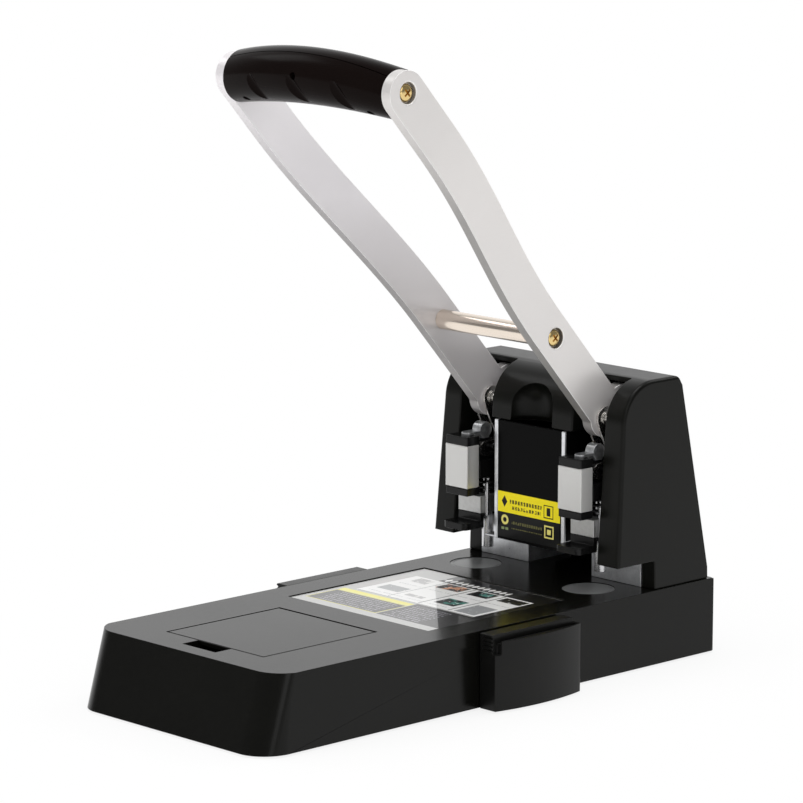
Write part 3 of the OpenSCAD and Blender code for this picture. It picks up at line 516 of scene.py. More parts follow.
@dataclass(frozen=True)
class PrintedSheet(Finish):
    """The glossy sheet on the base: tiles, ruled fields and bands, all generic."""

    border: Colour = (0.50, 0.50, 0.49)
    white: Colour = (0.93, 0.93, 0.92)
    black: Colour = (0.006, 0.006, 0.007)
    grey: Colour = (0.34, 0.35, 0.36)
    yellow: Colour = (0.90, 0.84, 0.12)

    def tiles(self, sheet: Drawing, blots: Signal, tints: Signal) -> None:
        """Lay the picture tiles, each a blotch of two tones, and the lines between them.

        Args:
            sheet: The sheet.
            blots: Fine noise that breaks the tiles up.
            tints: Coarse noise that divides their two tones.
        """
        blend = sheet.wiring.blend
        gaps = [sheet.box(x0, x1, 7, 47) for x0, x1 in ((-18.7, -18.1), (2.6, 3.6), (23.6, 24.7))]
        sheet.lay(gaps[0] + gaps[1] + gaps[2] + sheet.box(-39, 43, 5.6, 6.2), (0.10, 0.10, 0.11), 0.85)
        warm = blend(tints > 0.54, self.black, (0.66, 0.30, 0.16))
        cool = blend(tints > 0.56, self.black, (0.05, 0.24, 0.20))
        pale = blend(tints > 0.5, (0.75, 0.74, 0.72), (0.46, 0.45, 0.45))
        rear = ((-34.5, -23.5, 37.0, 45.5, pale), (-16.0, 0.2, 37.0, 46.6, warm),
                (6.0, 20.5, 37.0, 46.6, cool), (26.2, 42.0, 38.0, 46.0, self.black))
        front = ((-36.0, -20.5, 15.5, 25.0, self.grey), (-14.5, -2.0, 14.0, 18.0, pale),
                 (6.8, 20.8, 13.8, 25.2, cool), (27.0, 41.0, 8.0, 25.0, self.grey))
        for *edges, tone in rear + front:
            sheet.lay(sheet.box(*edges) * (blots > 0.36), tone)

    def wire(self, wiring: Wiring) -> dict[str, Any]:
        """Draw the fields of the sheet from its own two coordinates.

        Args:
            wiring: The tree of the material.

        Returns:
            The inputs of the shader.
        """
        x, y, _ = wiring.axes()
        sheet = Drawing(wiring, x, y, self.border)
        box = sheet.box
        blots = wiring.noise(420, 3, 0.6)
        tints = wiring.noise(130, 3, 0.55)
        words = stripes(sheet.x, 0.55, 0.12, 0.86) * (blots > 0.44)
        # White field of the tiles, with a black ground behind and beside it
        sheet.lay(box(-40, 43.2, 5.6, 47.5), self.white)
        sheet.lay(box(-24.5, 49.0, 47.5, 61.8) + box(43.2, 49.0, -23.0, 47.6), self.black)
        blobs = abs((sheet.x * 0.26) % 1.0 - 0.5) * 1.7 + abs(sheet.y - 51.9) * 0.20 < 0.72
        sheet.lay(blobs * box(-24, 22, 49.2, 54.6), self.white)
        flecks = stripes(sheet.x, 0.8, 0.2, 0.8) * stripes(sheet.y, 0.5, 0.2, 0.7)
        sheet.lay(flecks * box(-45.5, -40, 8, 44), (0.55, 0.42, 0.40), 0.5)
        self.tiles(sheet, blots, tints)
        sheet.lay(words * (box(-36, 42, 31.0, 32.2) + box(-36, 20, 9.8, 10.9)), self.grey, 0.55)
        # Yellow stripe over the ruled field in front, with the black corner beside it
        sheet.lay(box(-46.2, 4.4, -23.5, -1.6), self.black)
        sheet.lay(box(5.0, 49.0, -23.5, 5.0), self.black)
        sheet.lay(box(-46.2, 4.4, -1.3, 3.4), self.yellow)
        sheet.lay(sheet.outline(-46.2, 4.4, -23.5, -1.6, 0.7), self.yellow, 0.8)
        text = box(-40, 0.5, -21.5, -3.5) + box(8, 33, -21.5, 1.5)
        sheet.lay(text * stripes(sheet.y, 0.36, 0.28, 0.66) * words, (0.46, 0.44, 0.50), 0.8)
        return {
            "Base Color": sheet.colour,
            "Roughness": 0.34 + (blots - 0.5) * 0.1,
            "Normal": wiring.bump(tints, 0.05, 0.0001),
            "Coat Weight": 0.75,
            "Coat Roughness": 0.04,
            "Specular IOR Level": 0.3,
        }


@dataclass(frozen=True)
class PanelPrint(Finish):
    """The yellow and black print on the middle panel, with generic marks."""

    yellow: Colour = (0.95, 0.80, 0.008)
    black: Colour = (0.004, 0.004, 0.004)

    def wire(self, wiring: Wiring) -> dict[str, Any]:
        """Draw the yellow band, its marks and the black part under it.

        Args:
            wiring: The tree of the material.

        Returns:
            The inputs of the shader.
        """
        across, _, height = wiring.axes()
        panel = Drawing(wiring, across, height, self.black)
        x, z = panel.x, panel.y
        blots = wiring.noise(700, 3, 0.6)
        panel.lay(z > 68.9, self.yellow)
        # Small bars in two rows, a lozenge and a square mark on the yellow band
        bars = stripes(x, 0.50, 0.14, 0.84) * (blots > 0.42)
        rows = panel.box(-13.4, 9.2, 73.9, 75.9) + panel.box(-12, 8.5, 70.9, 72.7)
        panel.lay(bars * rows, self.black, 0.9)
        lozenge = abs(x + 17.2) * 1.5 + abs(z - 74.6) < 3.0
        aside, level = abs(x - 14.0), abs(z - 73.5)
        upper_mark = aside.at_least(level).between(2.9, 3.4) + (aside.at_least(level * 0.62) < 1.3)
        panel.lay(lozenge + upper_mark, self.black)
        # Dim rows and small yellow marks on the black part
        dim = stripes(x, 0.62, 0.15, 0.85) * (blots > 0.42)
        rows = panel.box(-12, 9.5, 63.4, 64.9) + panel.box(-12, 9.5, 60.9, 61.5)
        panel.lay(dim * rows, (0.35, 0.33, 0.10), 0.35)
        ring = ((x + 16.9) ** 2 + (z - 65.1) ** 2).between(1.6, 6.6)
        square = abs(x - 14.4).at_least(abs(z - 63.2))
        panel.lay(ring + square.between(2.5, 3.3) + (square < 1.3), (0.80, 0.72, 0.20))
        low_bar = abs(x + 16.9).between(0.4, 2.4) * z.between(59.9, 61.2)
        panel.lay(low_bar, (0.28, 0.36, 0.16), 0.8)
        return {
            "Base Color": panel.colour,
            "Roughness": 0.30 + (blots - 0.5) * 0.08,
            "Normal": wiring.bump(blots, 0.08, 0.00005),
            "Coat Weight": 0.12,
            "Coat Roughness": 0.08,
            "Specular IOR Level": 0.12,
        }


class Palette:
    """All finishes of the punch by the slot that they belong to."""

    def __init__(self) -> None:
        """Make every material once."""
        finishes: dict[str, Finish] = {
            "base_black": MouldedPlastic(
                "base_plastic", (0.0040, 0.0040, 0.0033), 0.19, 0.0009, strength=0.07, reflection=0.17),
            "cover_black": MouldedPlastic(
                "under_plastic", (0.014, 0.014, 0.014), 0.55, 0.0014, strength=0.5),
            "foot_rubber": MouldedPlastic(
                "foot_rubber", (0.018, 0.018, 0.018), 0.8, 0.0016, strength=0.6),
            "screw_steel": SatinMetal("screw_steel", (0.45, 0.45, 0.46), 0.33, 1.0),
            "disc_grey": MouldedPlastic(
                "disc_plastic", (0.19, 0.195, 0.195), 0.30, 0.0030,
                strength=0.12, reflection=0.5, tone_shift=0.12),
            "label_paper": PrintedSheet("base_sheet"),
            "guide_black": MouldedPlastic(
                "guide_plastic", (0.006, 0.006, 0.0056), 0.30, 0.0010, strength=0.10, reflection=0.17),
            "head_black": MouldedPlastic(
                "head_plastic", (0.0034, 0.0035, 0.0026), 0.32, 0.0012, strength=0.24, reflection=0.18),
            "panel_black": MouldedPlastic(
                "panel_plastic", (0.003, 0.003, 0.003), 0.16, 0.0030, strength=0.05, reflection=0.04),
            "label_yellow": PanelPrint("panel_print"),
            # The frames get black painted as shade high up, beside and behind the panel
            "frame_zinc": CastZinc(
                "frame_zinc", (0.90, 0.91, 0.93), (0.72, 0.73, 0.75), 0.33, 0.006,
                blackened=(0.0245, 0.060, 0.0885)),
            "block_grey": CastZinc("block_zinc", (0.60, 0.60, 0.59), (0.50, 0.50, 0.49), 0.42, 0.003),
            "unit_black": MouldedPlastic(
                "unit_plastic", (0.005, 0.005, 0.005), 0.24, 0.0008, strength=0.08, reflection=0.22),
            "wire_steel": SatinMetal("wire_steel", (0.60, 0.60, 0.61), 0.25, 1.0),
            "spring_dark": SatinMetal("spring_dark", (0.06, 0.06, 0.062), 0.35, 0.8),
            "sleeve_silver": SatinMetal(
                "sleeve_silver", (0.64, 0.635, 0.62), 0.34, 0.5, stretch=(1, 1, 0.08)),
            "pad_zinc": CastZinc("pad_zinc", (0.70, 0.71, 0.72), (0.46, 0.47, 0.48), 0.34, 0.003),
            "pin_steel": SatinMetal("pin_steel", (0.62, 0.62, 0.63), 0.22, 1.0, stretch=(1, 1, 6)),
            "link_nickel": SatinMetal("link_nickel", (0.80, 0.78, 0.75), 0.26, 1.0),
            "arm_aluminium": ArmMetal(
                "arm_aluminium", (0.78, 0.755, 0.74), 0.36, 0.35,
                stretch=(1.0, 0.12, 1.0), turn=(-TILT, 0.0, 0.0), grain=0.0005),
            "grip_black": MouldedPlastic(
                "grip_plastic", (0.0060, 0.0038, 0.0034), 0.20, 0.0040, strength=0.05, reflection=0.035),
            "rod_nickel": SatinMetal("rod_nickel", (0.86, 0.76, 0.66), 0.20, 1.0, stretch=(0.05, 1, 1)),
            "screw_brass": SatinMetal("screw_brass", (0.80, 0.60, 0.27), 0.22, 1.0),
            "collar_silver": SatinMetal("collar_silver", (0.66, 0.66, 0.67), 0.34, 0.9),
        }
        self.materials = {slot: finish.material() for slot, finish in finishes.items()}

    def dress(self, piece: Piece, slot: str) -> None:
        """Give a piece the one finish of its slot.

        Args:
            piece: The piece.
            slot: The slot of the record.
        """
        piece.data.materials.clear()
        piece.data.materials.append(self.materials[slot])


# Modelling by hand


@dataclass(frozen=True)
class EdgeZone:
    """A box in millimetres in which sharp edges get a width of their own."""

    low: Point
    high: Point
    width: float

    def holds(self, spot: Vector) -> bool:
        """Whether a point in metres lies in the box."""
        return all(lo * MM <= c <= hi * MM for lo, c, hi in zip(self.low, spot, self.high))


@dataclass(frozen=True)
class Rounding:
    """How the edges of a piece are rounded; widths are in millimetres."""

    width: float
    segments: int = 2
    angle: float = 35.0
    zones: tuple[EdgeZone, ...] = ()

    def at(self, spot: Vector) -> float:
        """The width wanted at a place.

        Args:
            spot: The place in metres.

        Returns:
            The width in metres.
        """
        for zone in self.zones:
            if zone.holds(spot):
                return zone.width * MM
        return self.width * MM


class Workbench:
    """Edit-mode work on one piece at a time."""

    # Cosine over which two edges run on as one, share across an edge that counts as room for its
    # rounding, and how much of that room a rounding takes
    ONWARD = 0.7
    ASIDE = 0.35
    TAKEN = 0.42

    @staticmethod
    def clear() -> None:
        """Leave edit mode and deselect everything."""
        if bpy.context.object and bpy.context.object.mode != "OBJECT":
            bpy.ops.object.mode_set(mode="OBJECT")
        bpy.ops.object.select_all(action="DESELECT")

    @classmethod
    def take(cls, piece: Piece) -> Piece:
        """Make one piece the only selected and active one."""
        cls.clear()
        piece.select_set(True)
        bpy.context.view_layer.objects.active = piece
        return piece

    @classmethod
    def edit(cls, piece: Piece, chosen: bool = False) -> None:
        """Open a piece in edit mode.

        Args:
            piece: The piece.
            chosen: Whether all its faces are selected, or none.
        """
        cls.take(piece)
        mesh = piece.data
        for group in (mesh.vertices, mesh.edges, mesh.polygons):
            for element in group:
                element.select = False
        bpy.context.tool_settings.mesh_select_mode = (False, False, True)
        for face in mesh.polygons:
            face.select = chosen
        bpy.ops.object.mode_set(mode="EDIT")

    @classmethod
    def done(cls) -> None:
        """Go back to object mode."""
        bpy.ops.object.mode_set(mode="OBJECT")

    @classmethod
    def apply(cls, piece: Piece, kind: str, **settings: Any) -> None:
        """Add a modifier and apply it.

        Args:
            piece: The piece.
            kind: The type of the modifier.
            settings: Its settings.
        """
        cls.take(piece)
        modifier = piece.modifiers.new(kind.lower(), kind)
        for key, value in settings.items():
            setattr(modifier, key, value)
        bpy.ops.object.modifier_apply(modifier=modifier.name)

    @classmethod
    def settle(cls, piece: Piece, name: str) -> Piece:
        """Bring a new primitive to the origin with its place in its mesh.

        Args:
            piece: The piece.
            name: Its name.

        Returns:
            The same piece.
        """
        cls.take(piece)
        bpy.ops.object.transform_apply(location=True, rotation=True, scale=True)
        piece.name = name
        piece.data.name = name
        return piece

    @classmethod
    def disc(cls, name: str, sides: int, radius: float, place: Point, turn: Point) -> Piece:
        """Lay a round face and open it in edit mode, selected.

        Args:
            name: Name of the piece.
            sides: Its corners.
            radius: Its radius in millimetres.
            place: Its centre in millimetres.
            turn: Its turns in degrees.

        Returns:
            The piece.
        """
        cls.clear()
        bpy.ops.mesh.primitive_circle_add(
            vertices=sides, radius=radius * MM, fill_type="NGON",
            location=tuple(c * MM for c in place), rotation=tuple(math.radians(a) for a in turn))
        piece = cls.settle(bpy.context.object, name)
        cls.edit(piece, True)
        return piece

    @staticmethod
    def ring(step: Point, ratio: float, centre: Point) -> None:
        """Extrude the selected face and change its size across X.

        Args:
            step: How far it goes, in millimetres.
            ratio: Its new size against the old one.
            centre: Its new centre in millimetres.
        """
        bpy.ops.mesh.extrude_region_move(TRANSFORM_OT_translate={"value": tuple(c * MM for c in step)})
        bpy.ops.transform.resize(value=(1, ratio, ratio), center_override=tuple(c * MM for c in centre))

    @classmethod
    def cut(cls, piece: Piece, cutter: Piece, keep: str = "DIFFERENCE") -> None:
        """Cut a piece with a cutter and throw the cutter away.

        Args:
            piece: The piece.
            cutter: The cutter.
            keep: What is kept.
        """
        cls.apply(piece, "BOOLEAN", operation=keep, solver="EXACT", object=cutter)
        bpy.data.objects.remove(cutter)

    @classmethod
    def outward(cls, piece: Piece) -> None:
        """Merge doubles and turn all faces outwards."""
        cls.edit(piece)
        bpy.ops.mesh.select_all(action="SELECT")
        bpy.ops.mesh.remove_doubles(threshold=MERGE)
        bpy.ops.mesh.normals_make_consistent(inside=False)
        cls.done()

    @classmethod
    def smooth(cls, piece: Piece, angle: float = 32.0) -> None:
        """Shade smooth under an angle, with the large faces leading."""
        cls.take(piece)
        bpy.ops.object.shade_smooth_by_angle(angle=math.radians(angle))
        cls.apply(piece, "WEIGHTED_NORMAL", keep_sharp=True, weight=60)

    @classmethod
    def place_copy(cls, source: Piece, name: str, matrix: Matrix) -> Piece:
        """Copy a piece with its own mesh and move the mesh.

        Args:
            source: The piece to copy.
            name: Name of the copy.
            matrix: The move of its mesh.

        Returns:
            The copy.
        """
        mesh = source.data.copy()
        mesh.transform(matrix)
        if matrix.determinant() < 0:
            mesh.flip_normals()
        copy = bpy.data.objects.new(name, mesh)
        mesh.name = name
        bpy.context.scene.collection.objects.link(copy)
        return copy

    @classmethod
    def cleaned(cls, node: str, name: str) -> Piece:
        """Copy the mesh of a CAD node, merged and freed of its triangles.

        Args:
            node: The node.
            name: Name of the piece.

        Returns:
            The piece.
        """
        mesh = FRAME["nodes"][node].data.copy()
        mesh.materials.clear()
        mesh.name = name
        piece = bpy.data.objects.new(name, mesh)
        bpy.context.scene.collection.objects.link(piece)
        cls.edit(piece)
        bpy.ops.mesh.select_all(action="SELECT")
        bpy.ops.mesh.remove_doubles(threshold=MERGE)
        bpy.ops.mesh.dissolve_limited(angle_limit=math.radians(0.4))
        cls.done()
        return piece

    @staticmethod
    def even_out(
        mesh: bpy.types.Mesh, spots: list[Vector], around: dict[int, list[int]], widths: dict[int, float]
    ) -> None:
        """Give the edges of one smooth chain the width of its narrowest edge.

        Args:
            mesh: The mesh.
            spots: Places of its corners.
            around: Edges at each corner.
            widths: Widths by edge, changed in place.
        """
        chain = {index: index for index in widths}

        def root(index: int) -> int:
            """The first edge of a chain."""
            while chain[index] != index:
                chain[index] = chain[chain[index]]
                index = chain[index]
            return index

        ways: dict[int, Vector] = {}
        for index in widths:
            first, second = mesh.edges[index].vertices
            ways[index] = (spots[second] - spots[first]).normalized()
        for corner, edges in around.items():
            sharp = [index for index in edges if index in widths]
            for place, index in enumerate(sharp):
                for other in sharp[place + 1:]:
                    if abs(ways[index].dot(ways[other])) > Workbench.ONWARD:
                        chain[root(index)] = root(other)
        least: dict[int, float] = {}
        for index, width in widths.items():
            least[root(index)] = min(width, least.get(root(index), width))
        for index in widths:
            widths[index] = least[root(index)]

    @classmethod
    def round_edges(cls, piece: Piece, rounding: Rounding) -> None:
        """Round the sharp edges, each as far as its neighbours leave room.

        Args:
            piece: The piece.
            rounding: Widths and zones.
        """
        mesh = piece.data
        faces_of: dict[tuple[int, int], list[int]] = {}
        for face in mesh.polygons:
            for key in face.edge_keys:
                faces_of.setdefault(key, []).append(face.index)
        spots = [v.co.copy() for v in mesh.vertices]
        around: dict[int, list[int]] = {}
        for edge in mesh.edges:
            for corner in edge.vertices:
                around.setdefault(corner, []).append(edge.index)
        limit = math.radians(rounding.angle)
        widths: dict[int, float] = {}
        for edge in mesh.edges:
            beside = faces_of.get(tuple(sorted(edge.vertices)), [])
            if len(beside) != 2:
                continue
            normals = [mesh.polygons[i].normal for i in beside]
            if normals[0].length < 0.5 or normals[1].length < 0.5:
                continue
            if normals[0].angle(normals[1]) < limit:
                continue
            first, second = (spots[i] for i in edge.vertices)
            along = (second - first).normalized()
            width = rounding.at((first + second) / 2)
            for corner in edge.vertices:
                for other in around[corner]:
                    if other == edge.index:
                        continue
                    ends = [spots[i] for i in mesh.edges[other].vertices]
                    way = ends[1] - ends[0]
                    slant = way.length * math.sqrt(max(0.0, 1 - (way.normalized().dot(along)) ** 2))
                    if slant > cls.ASIDE * way.length:
                        width = min(width, cls.TAKEN * slant)
            widths[edge.index] = width
        if not widths:
            return
        cls.even_out(mesh, spots, around, widths)
        widest = max(widths.values())
        layer = mesh.attributes.new("bevel_weight_edge", "FLOAT", "EDGE")
        for index, width in widths.items():
            layer.data[index].value = width / widest
        cls.apply(
            piece, "BEVEL", width=widest, segments=rounding.segments, limit_method="WEIGHT",
            use_clamp_overlap=False, loop_slide=False, miter_outer="MITER_ARC",
        )


@dataclass
class SubAssembly:
    """What all sub-assemblies share: the palette and the pieces made so far."""

    palette: Palette
    pieces: list[Piece] = field(default_factory=list)

    def finish(self, piece: Piece, body: str, slot: str, *nodes: str) -> Piece:
        """Dress a piece, let it ride and hide the CAD nodes that it replaces.

        Args:
            piece: The piece.
            body: The body that it rides on.
            slot: Its finish.
            nodes: The CAD nodes that it replaces.

        Returns:
            The same piece.
        """
        self.palette.dress(piece, slot)
        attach(piece, body)
        if nodes:
            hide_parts(*nodes)
        self.pieces.append(piece)
        LOG.info("%s: %d faces on %s", piece.name, len(piece.data.polygons), body)
        return piece

    def rounded(self, node: str, body: str, slot: str, rounding: Rounding) -> Piece:
        """Make the rounded and dressed piece for a CAD node.

        Args:
            node: The node.
            body: The body that it rides on.
            slot: Its finish.
            rounding: How its edges are rounded.

        Returns:
            The piece.
        """
        piece = Workbench.cleaned(node, f"{node}_piece")
        Workbench.round_edges(piece, rounding)
        Workbench.smooth(piece)
        return self.finish(piece, body, slot, node)

    def carry_over(self, body: str, *rows: tuple[str, str, Rounding]) -> None:
        """Make the pieces for several CAD nodes of one body.

        Args:
            body: The body that they ride on.
            rows: The node, the finish and the rounding of each.
        """
        for node, slot, rounding in rows:
            self.rounded(node, body, slot, rounding)


@dataclass
class BaseUnit(SubAssembly):
    """The moulded base with its lid, discs, label sheet, cover and feet."""

    edge: float = 1.5
    hem: float = 0.6
    seam: float = 0.28

    def build(self) -> None:
        """Make every piece of the base."""
        # Both long edges, the front edge, the rear edge and the foot of the housing
        outer = (
            EdgeZone((-69, -160, 36), (-65.5, 160, 40), self.edge),
            EdgeZone((65.5, -160, 36), (69, 160, 40), self.edge),
            EdgeZone((-69, -160, 36), (69, -140.5, 40), self.edge),
            EdgeZone((-69, 150, 36), (69, 156, 40), self.edge),
            EdgeZone((-69, -160, 0), (69, 160, 3), self.hem),
        )
        self.carry_over(
            "base",
            ("base_housing", "base_black", Rounding(self.seam, 3, zones=outer)),
            ("bottom_cover", "cover_black", Rounding(0.4)),
            ("rubber_feet", "foot_rubber", Rounding(0.3)),
            ("bottom_screws", "screw_steel", Rounding(0.3)),
            ("label_sheet", "label_paper", Rounding(0.05, 1)),
        )
        for side in Side:
            self.rounded(f"disc_{side.word}", f"cutting_disc_{side.word}", "disc_grey", Rounding(0.25))
        self.rounded("hatch_lid", "hatch", "base_black", Rounding(0.7, 3))


@dataclass
class SideGuides(SubAssembly):
    """The two paper guides that slide out of the base."""

    def build(self) -> None:
        """Make both guides."""
        for side in Side:
            self.carry_over(
                f"guide_{side.word}",
                (f"guide_end_{side.word}", "guide_black", Rounding(0.5)),
                (f"guide_bar_{side.word}", "guide_black", Rounding(0.3)),
            )


@dataclass
class Head(SubAssembly):
    """The head cover, the panel and the steel frames inside."""

    outer: float = 2.0
    dome: float = 3.0

    def build(self) -> None:
        """Make every piece of the head."""
        # Both cheeks, the dome with the front of the top, and the rear edge of the top
        zones = (
            EdgeZone((61, 70, 55), (67, 160, 150), self.outer),
            EdgeZone((-67, 70, 55), (-61, 160, 150), self.outer),
            EdgeZone((-50.5, 70, 110), (50.5, 112, 146), self.dome),
            EdgeZone((-60, 128, 130), (60, 152, 146), self.outer),
        )
        self.carry_over(
            "base",
            ("head_cover", "head_black", Rounding(0.8, 3, zones=zones)),
            ("cover_screws", "screw_steel", Rounding(0.3)),
            ("centre_panel", "panel_black", Rounding(0.3)),
            ("panel_label", "label_yellow", Rounding(0.05, 1)),
            ("frame_left", "frame_zinc", Rounding(0.35)),
            ("frame_right", "frame_zinc", Rounding(0.35)),
            ("frame_screws", "screw_steel", Rounding(0.5, 3)),
        )


@dataclass
class ReturnSpring:
    """One return spring round a punch pin; sizes in millimetres.

    keep, the share of its length that is left when the lever is down, is not used.
    """

    x: float
    y: float = 98.0
    low: float = 69.0
    high: float = 89.5
    radius: float = 4.6
    wire: float = 0.6
    turns: int = 7
    steps: int = 28
    keep: float = 0.63

    @staticmethod
    def close_ends(piece: Piece, middle: float) -> None:
        """Fill the two round ends of the wire.

        Args:
            piece: The wound wire.
            middle: Half its height in metres, which tells the ends apart.
        """
        tally = Counter(corner for face in piece.data.polygons for corner in face.vertices)
        for below in (True, False):
            Workbench.edit(piece)
            Workbench.done()
            bpy.context.tool_settings.mesh_select_mode = (True, False, False)
            for vertex in piece.data.vertices:
                vertex.select = tally[vertex.index] == 2 and (vertex.co.z < middle) == below
            bpy.ops.object.mode_set(mode="EDIT")
            bpy.ops.mesh.edge_face_add()
            Workbench.done()

    def build(self, name: str) -> Piece:
        """Wind the wire from a circle.

        Args:
            name: Name of the piece.

        Returns:
            The spring.
        """
        piece = Workbench.disc(name, 12, self.wire, (self.radius, 0, 0), (90, 0, 0))
        bpy.ops.mesh.delete(type="ONLY_FACE")
        Workbench.done()
        rise = (self.high - self.low - 2 * self.wire) * MM
        Workbench.apply(
            piece, "SCREW", screw_offset=rise / self.turns, iterations=self.turns, steps=self.steps,
            render_steps=self.steps, use_merge_vertices=True, use_normal_calculate=True)
        self.close_ends(piece, rise / 2)
        Workbench.outward(piece)
        piece.data.transform(Matrix.Translation((self.x * MM, self.y * MM, (self.low + self.wire) * MM)))
        Workbench.smooth(piece, 50)
        return piece


@dataclass
class PunchUnits(SubAssembly):
    """The two punch units with their blocks, slides, pins and springs."""

    spacing: float = 80.0

    def build(self) -> None:
        """Make both units."""
        for side in Side:
            self.carry_over(
                "base",
                (f"guide_block_{side.word}", "block_grey", Rounding(0.35)),
                (f"stop_block_{side.word}", "unit_black", Rounding(0.4)),
                (f"guide_clip_{side.word}", "wire_steel", Rounding(0.05, 1)),
            )
            self.carry_over(
                f"punch_{side.word}",
                (f"carriage_{side.word}", "unit_black", Rounding(0.5, 3)),
                (f"sleeve_{side.word}", "sleeve_silver", Rounding(0.45, 3)),
                (f"pressure_pad_{side.word}", "pad_zinc", Rounding(0.35, 3)),
                (f"punch_pin_{side.word}", "pin_steel", Rounding(0.2)),
                (f"cross_pin_{side.word}", "pin_steel", Rounding(0.3)),
            )
            spring = ReturnSpring(side.value * self.spacing / 2)
            coil = spring.build(f"return_spring_{side.word}_piece")
            self.finish(coil, "base", "spring_dark", f"return_spring_{side.word}")
            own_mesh(coil)


@dataclass
class Grip:
    """The moulded cross grip in two halves; sizes in millimetres and degrees, in its own frame.

    grooves gives the place and the radius of each finger groove, and holes the place of each
    screw hole and its angle round the barrel.
    """

    half: float = 54.9
    middle: float = 13.5
    taper: float = 1.0
    lean: float = 0.4
    bow: float = 6.3
    sunk: float = 1.4
    rings: int = 28
    sides: int = 72
    parting: float = 2.2
    gap: float = 0.24
    grooves: tuple[tuple[float, float], ...] = ((-29.8, 4.2), (0.4, 5.0), (29.8, 4.2))
    groove_angle: float = 77.0
    groove_slant: float = 23.0
    groove_depth: float = 2.1
    groove_length: float = 34.0
    holes: tuple[tuple[float, float], ...] = ((-0.6, 45), (-43, 107), (43, 107))
    hole_radius: float = 2.0
    hole_length: float = 7.0

    def section(self, x: float) -> tuple[float, float]:
        """Radius and offset of the section at one place.

        Args:
            x: Distance from the middle.

        Returns:
            The radius and how far the centre stands out.
        """
        share = x / self.half
        radius = self.middle - self.lean * share - self.taper * share * share
        return radius, self.bow * (1 - share * share) - self.lean * share - self.sunk

    def beside(self, x: float, angle: float, extra: float = 0.0) -> Point:
        """A place beside the skin of the barrel.

        Args:
            x: Distance from the middle.
            angle: Angle round the barrel.
            extra: Distance outside the skin.

        Returns:
            The place.
        """
        radius, rise = self.section(x)
        reach = radius + extra
        way = math.radians(angle)
        return x, rise + reach * math.cos(way), reach * math.sin(way)

    def barrel(self, name: str) -> Piece:
        """Draw the bowed barrel out of a disc, ring by ring.

        Args:
            name: Name of the piece.

        Returns:
            The closed barrel.
        """
        radius, rise = self.section(-self.half)
        piece = Workbench.disc(name, self.sides, radius, (-self.half, rise, 0), (0, 90, 0))
        for ring in range(1, self.rings + 1):
            x = self.half * (2 * ring / self.rings - 1)
            wide, high = self.section(x)
            Workbench.ring((2 * self.half / self.rings, high - rise, 0), wide / radius, (x, high, 0))
            radius, rise = wide, high
        Workbench.done()
        Workbench.outward(piece)
        return piece

    def rod(self, place: Point, radius: float, length: float, turn: Point, sides: int = 48) -> Piece:
        """A round cutter.

        Args:
            place: Its centre.
            radius: Its radius.
            length: Its length.
            turn: Its turns in degrees.
            sides: Its sides.

        Returns:
            The cutter.
        """
        Workbench.clear()
        bpy.ops.mesh.primitive_cylinder_add(
            vertices=sides, radius=radius * MM, depth=length * MM,
            location=tuple(c * MM for c in place), rotation=tuple(math.radians(a) for a in turn))
        return Workbench.settle(bpy.context.object, "cutter")

    def build(self, upper: str, lower: str) -> tuple[Piece, Piece]:
        """Make both halves.

        Args:
            upper: Name of the upper half.
            lower: Name of the lower half.

        Returns:
            The upper and the lower half.
        """
        whole = self.barrel(lower)
        for x, radius in self.grooves:
            spot = self.beside(x, self.groove_angle, radius - self.groove_depth)
            turn = (self.groove_angle, 0, self.groove_slant)
            Workbench.cut(whole, self.rod(spot, radius, self.groove_length, turn))
        for x, angle in self.holes:
            turn = (angle - 90, 0, 0)
            Workbench.cut(whole, self.rod(self.beside(x, angle), self.hole_radius, self.hole_length, turn))
        top = Workbench.place_copy(whole, upper, Matrix())
        # The halves part on a wide round cutter that bulges as far as the parting line
        bend = (self.half ** 2 + self.parting ** 2) / (2 * self.parting)
        for piece, change, keep in ((top, self.gap, "DIFFERENCE"), (whole, -self.gap, "INTERSECT")):
            cutter = self.rod((0, 0, bend - self.parting), bend + change, 90, (90, 0, 0), 720)
            Workbench.cut(piece, cutter, keep)
        along, off = GRIP_SPOT
        for piece in (top, whole):
            Workbench.outward(piece)
            piece.data.transform(LEVER_FRAME @ Matrix.Translation((0, along * MM, off * MM)))
            Workbench.smooth(piece, 28)
        return top, whole


@dataclass
class BrassScrew:
    """One brass screw with a domed head and a cross recess; sizes in millimetres, along X.

    profile gives the places and the radii of the rings from the shank to the top of the head.
    """

    shank: float = 2.0
    tip: float = -14.9
    profile: tuple[tuple[float, float], ...] = (
        (-1.9, 2.0), (-1.9, 4.0), (-1.7, 4.2), (-0.5, 4.2), (-0.1, 4.05),
        (0.35, 3.5), (0.7, 2.75), (0.9, 1.8), (0.98, 0.7))
    slot: float = 1.0
    reach: float = 4.4
    deep: float = 2.6

    def build(self, name: str) -> Piece:
        """Draw the screw out of a disc, from the tip to the head, and cut the recess.

        Args:
            name: Name of the piece.

        Returns:
            The screw, with the rim of its head at the origin.
        """
        piece = Workbench.disc(name, 48, self.shank, (self.tip, 0, 0), (0, 90, 0))
        spot, size = self.tip, self.shank
        for x, radius in self.profile:
            Workbench.ring((x - spot, 0, 0), radius / size, (x, 0, 0))
            spot, size = x, radius
        Workbench.done()
        Workbench.outward(piece)
        for wide, high in ((self.reach, self.slot), (self.slot, self.reach)):
            Workbench.clear()
            bpy.ops.mesh.primitive_cube_add(size=1, scale=(self.deep * MM, wide * MM, high * MM))
            Workbench.cut(piece, Workbench.settle(bpy.context.object, "cutter"))
        Workbench.outward(piece)
        return piece


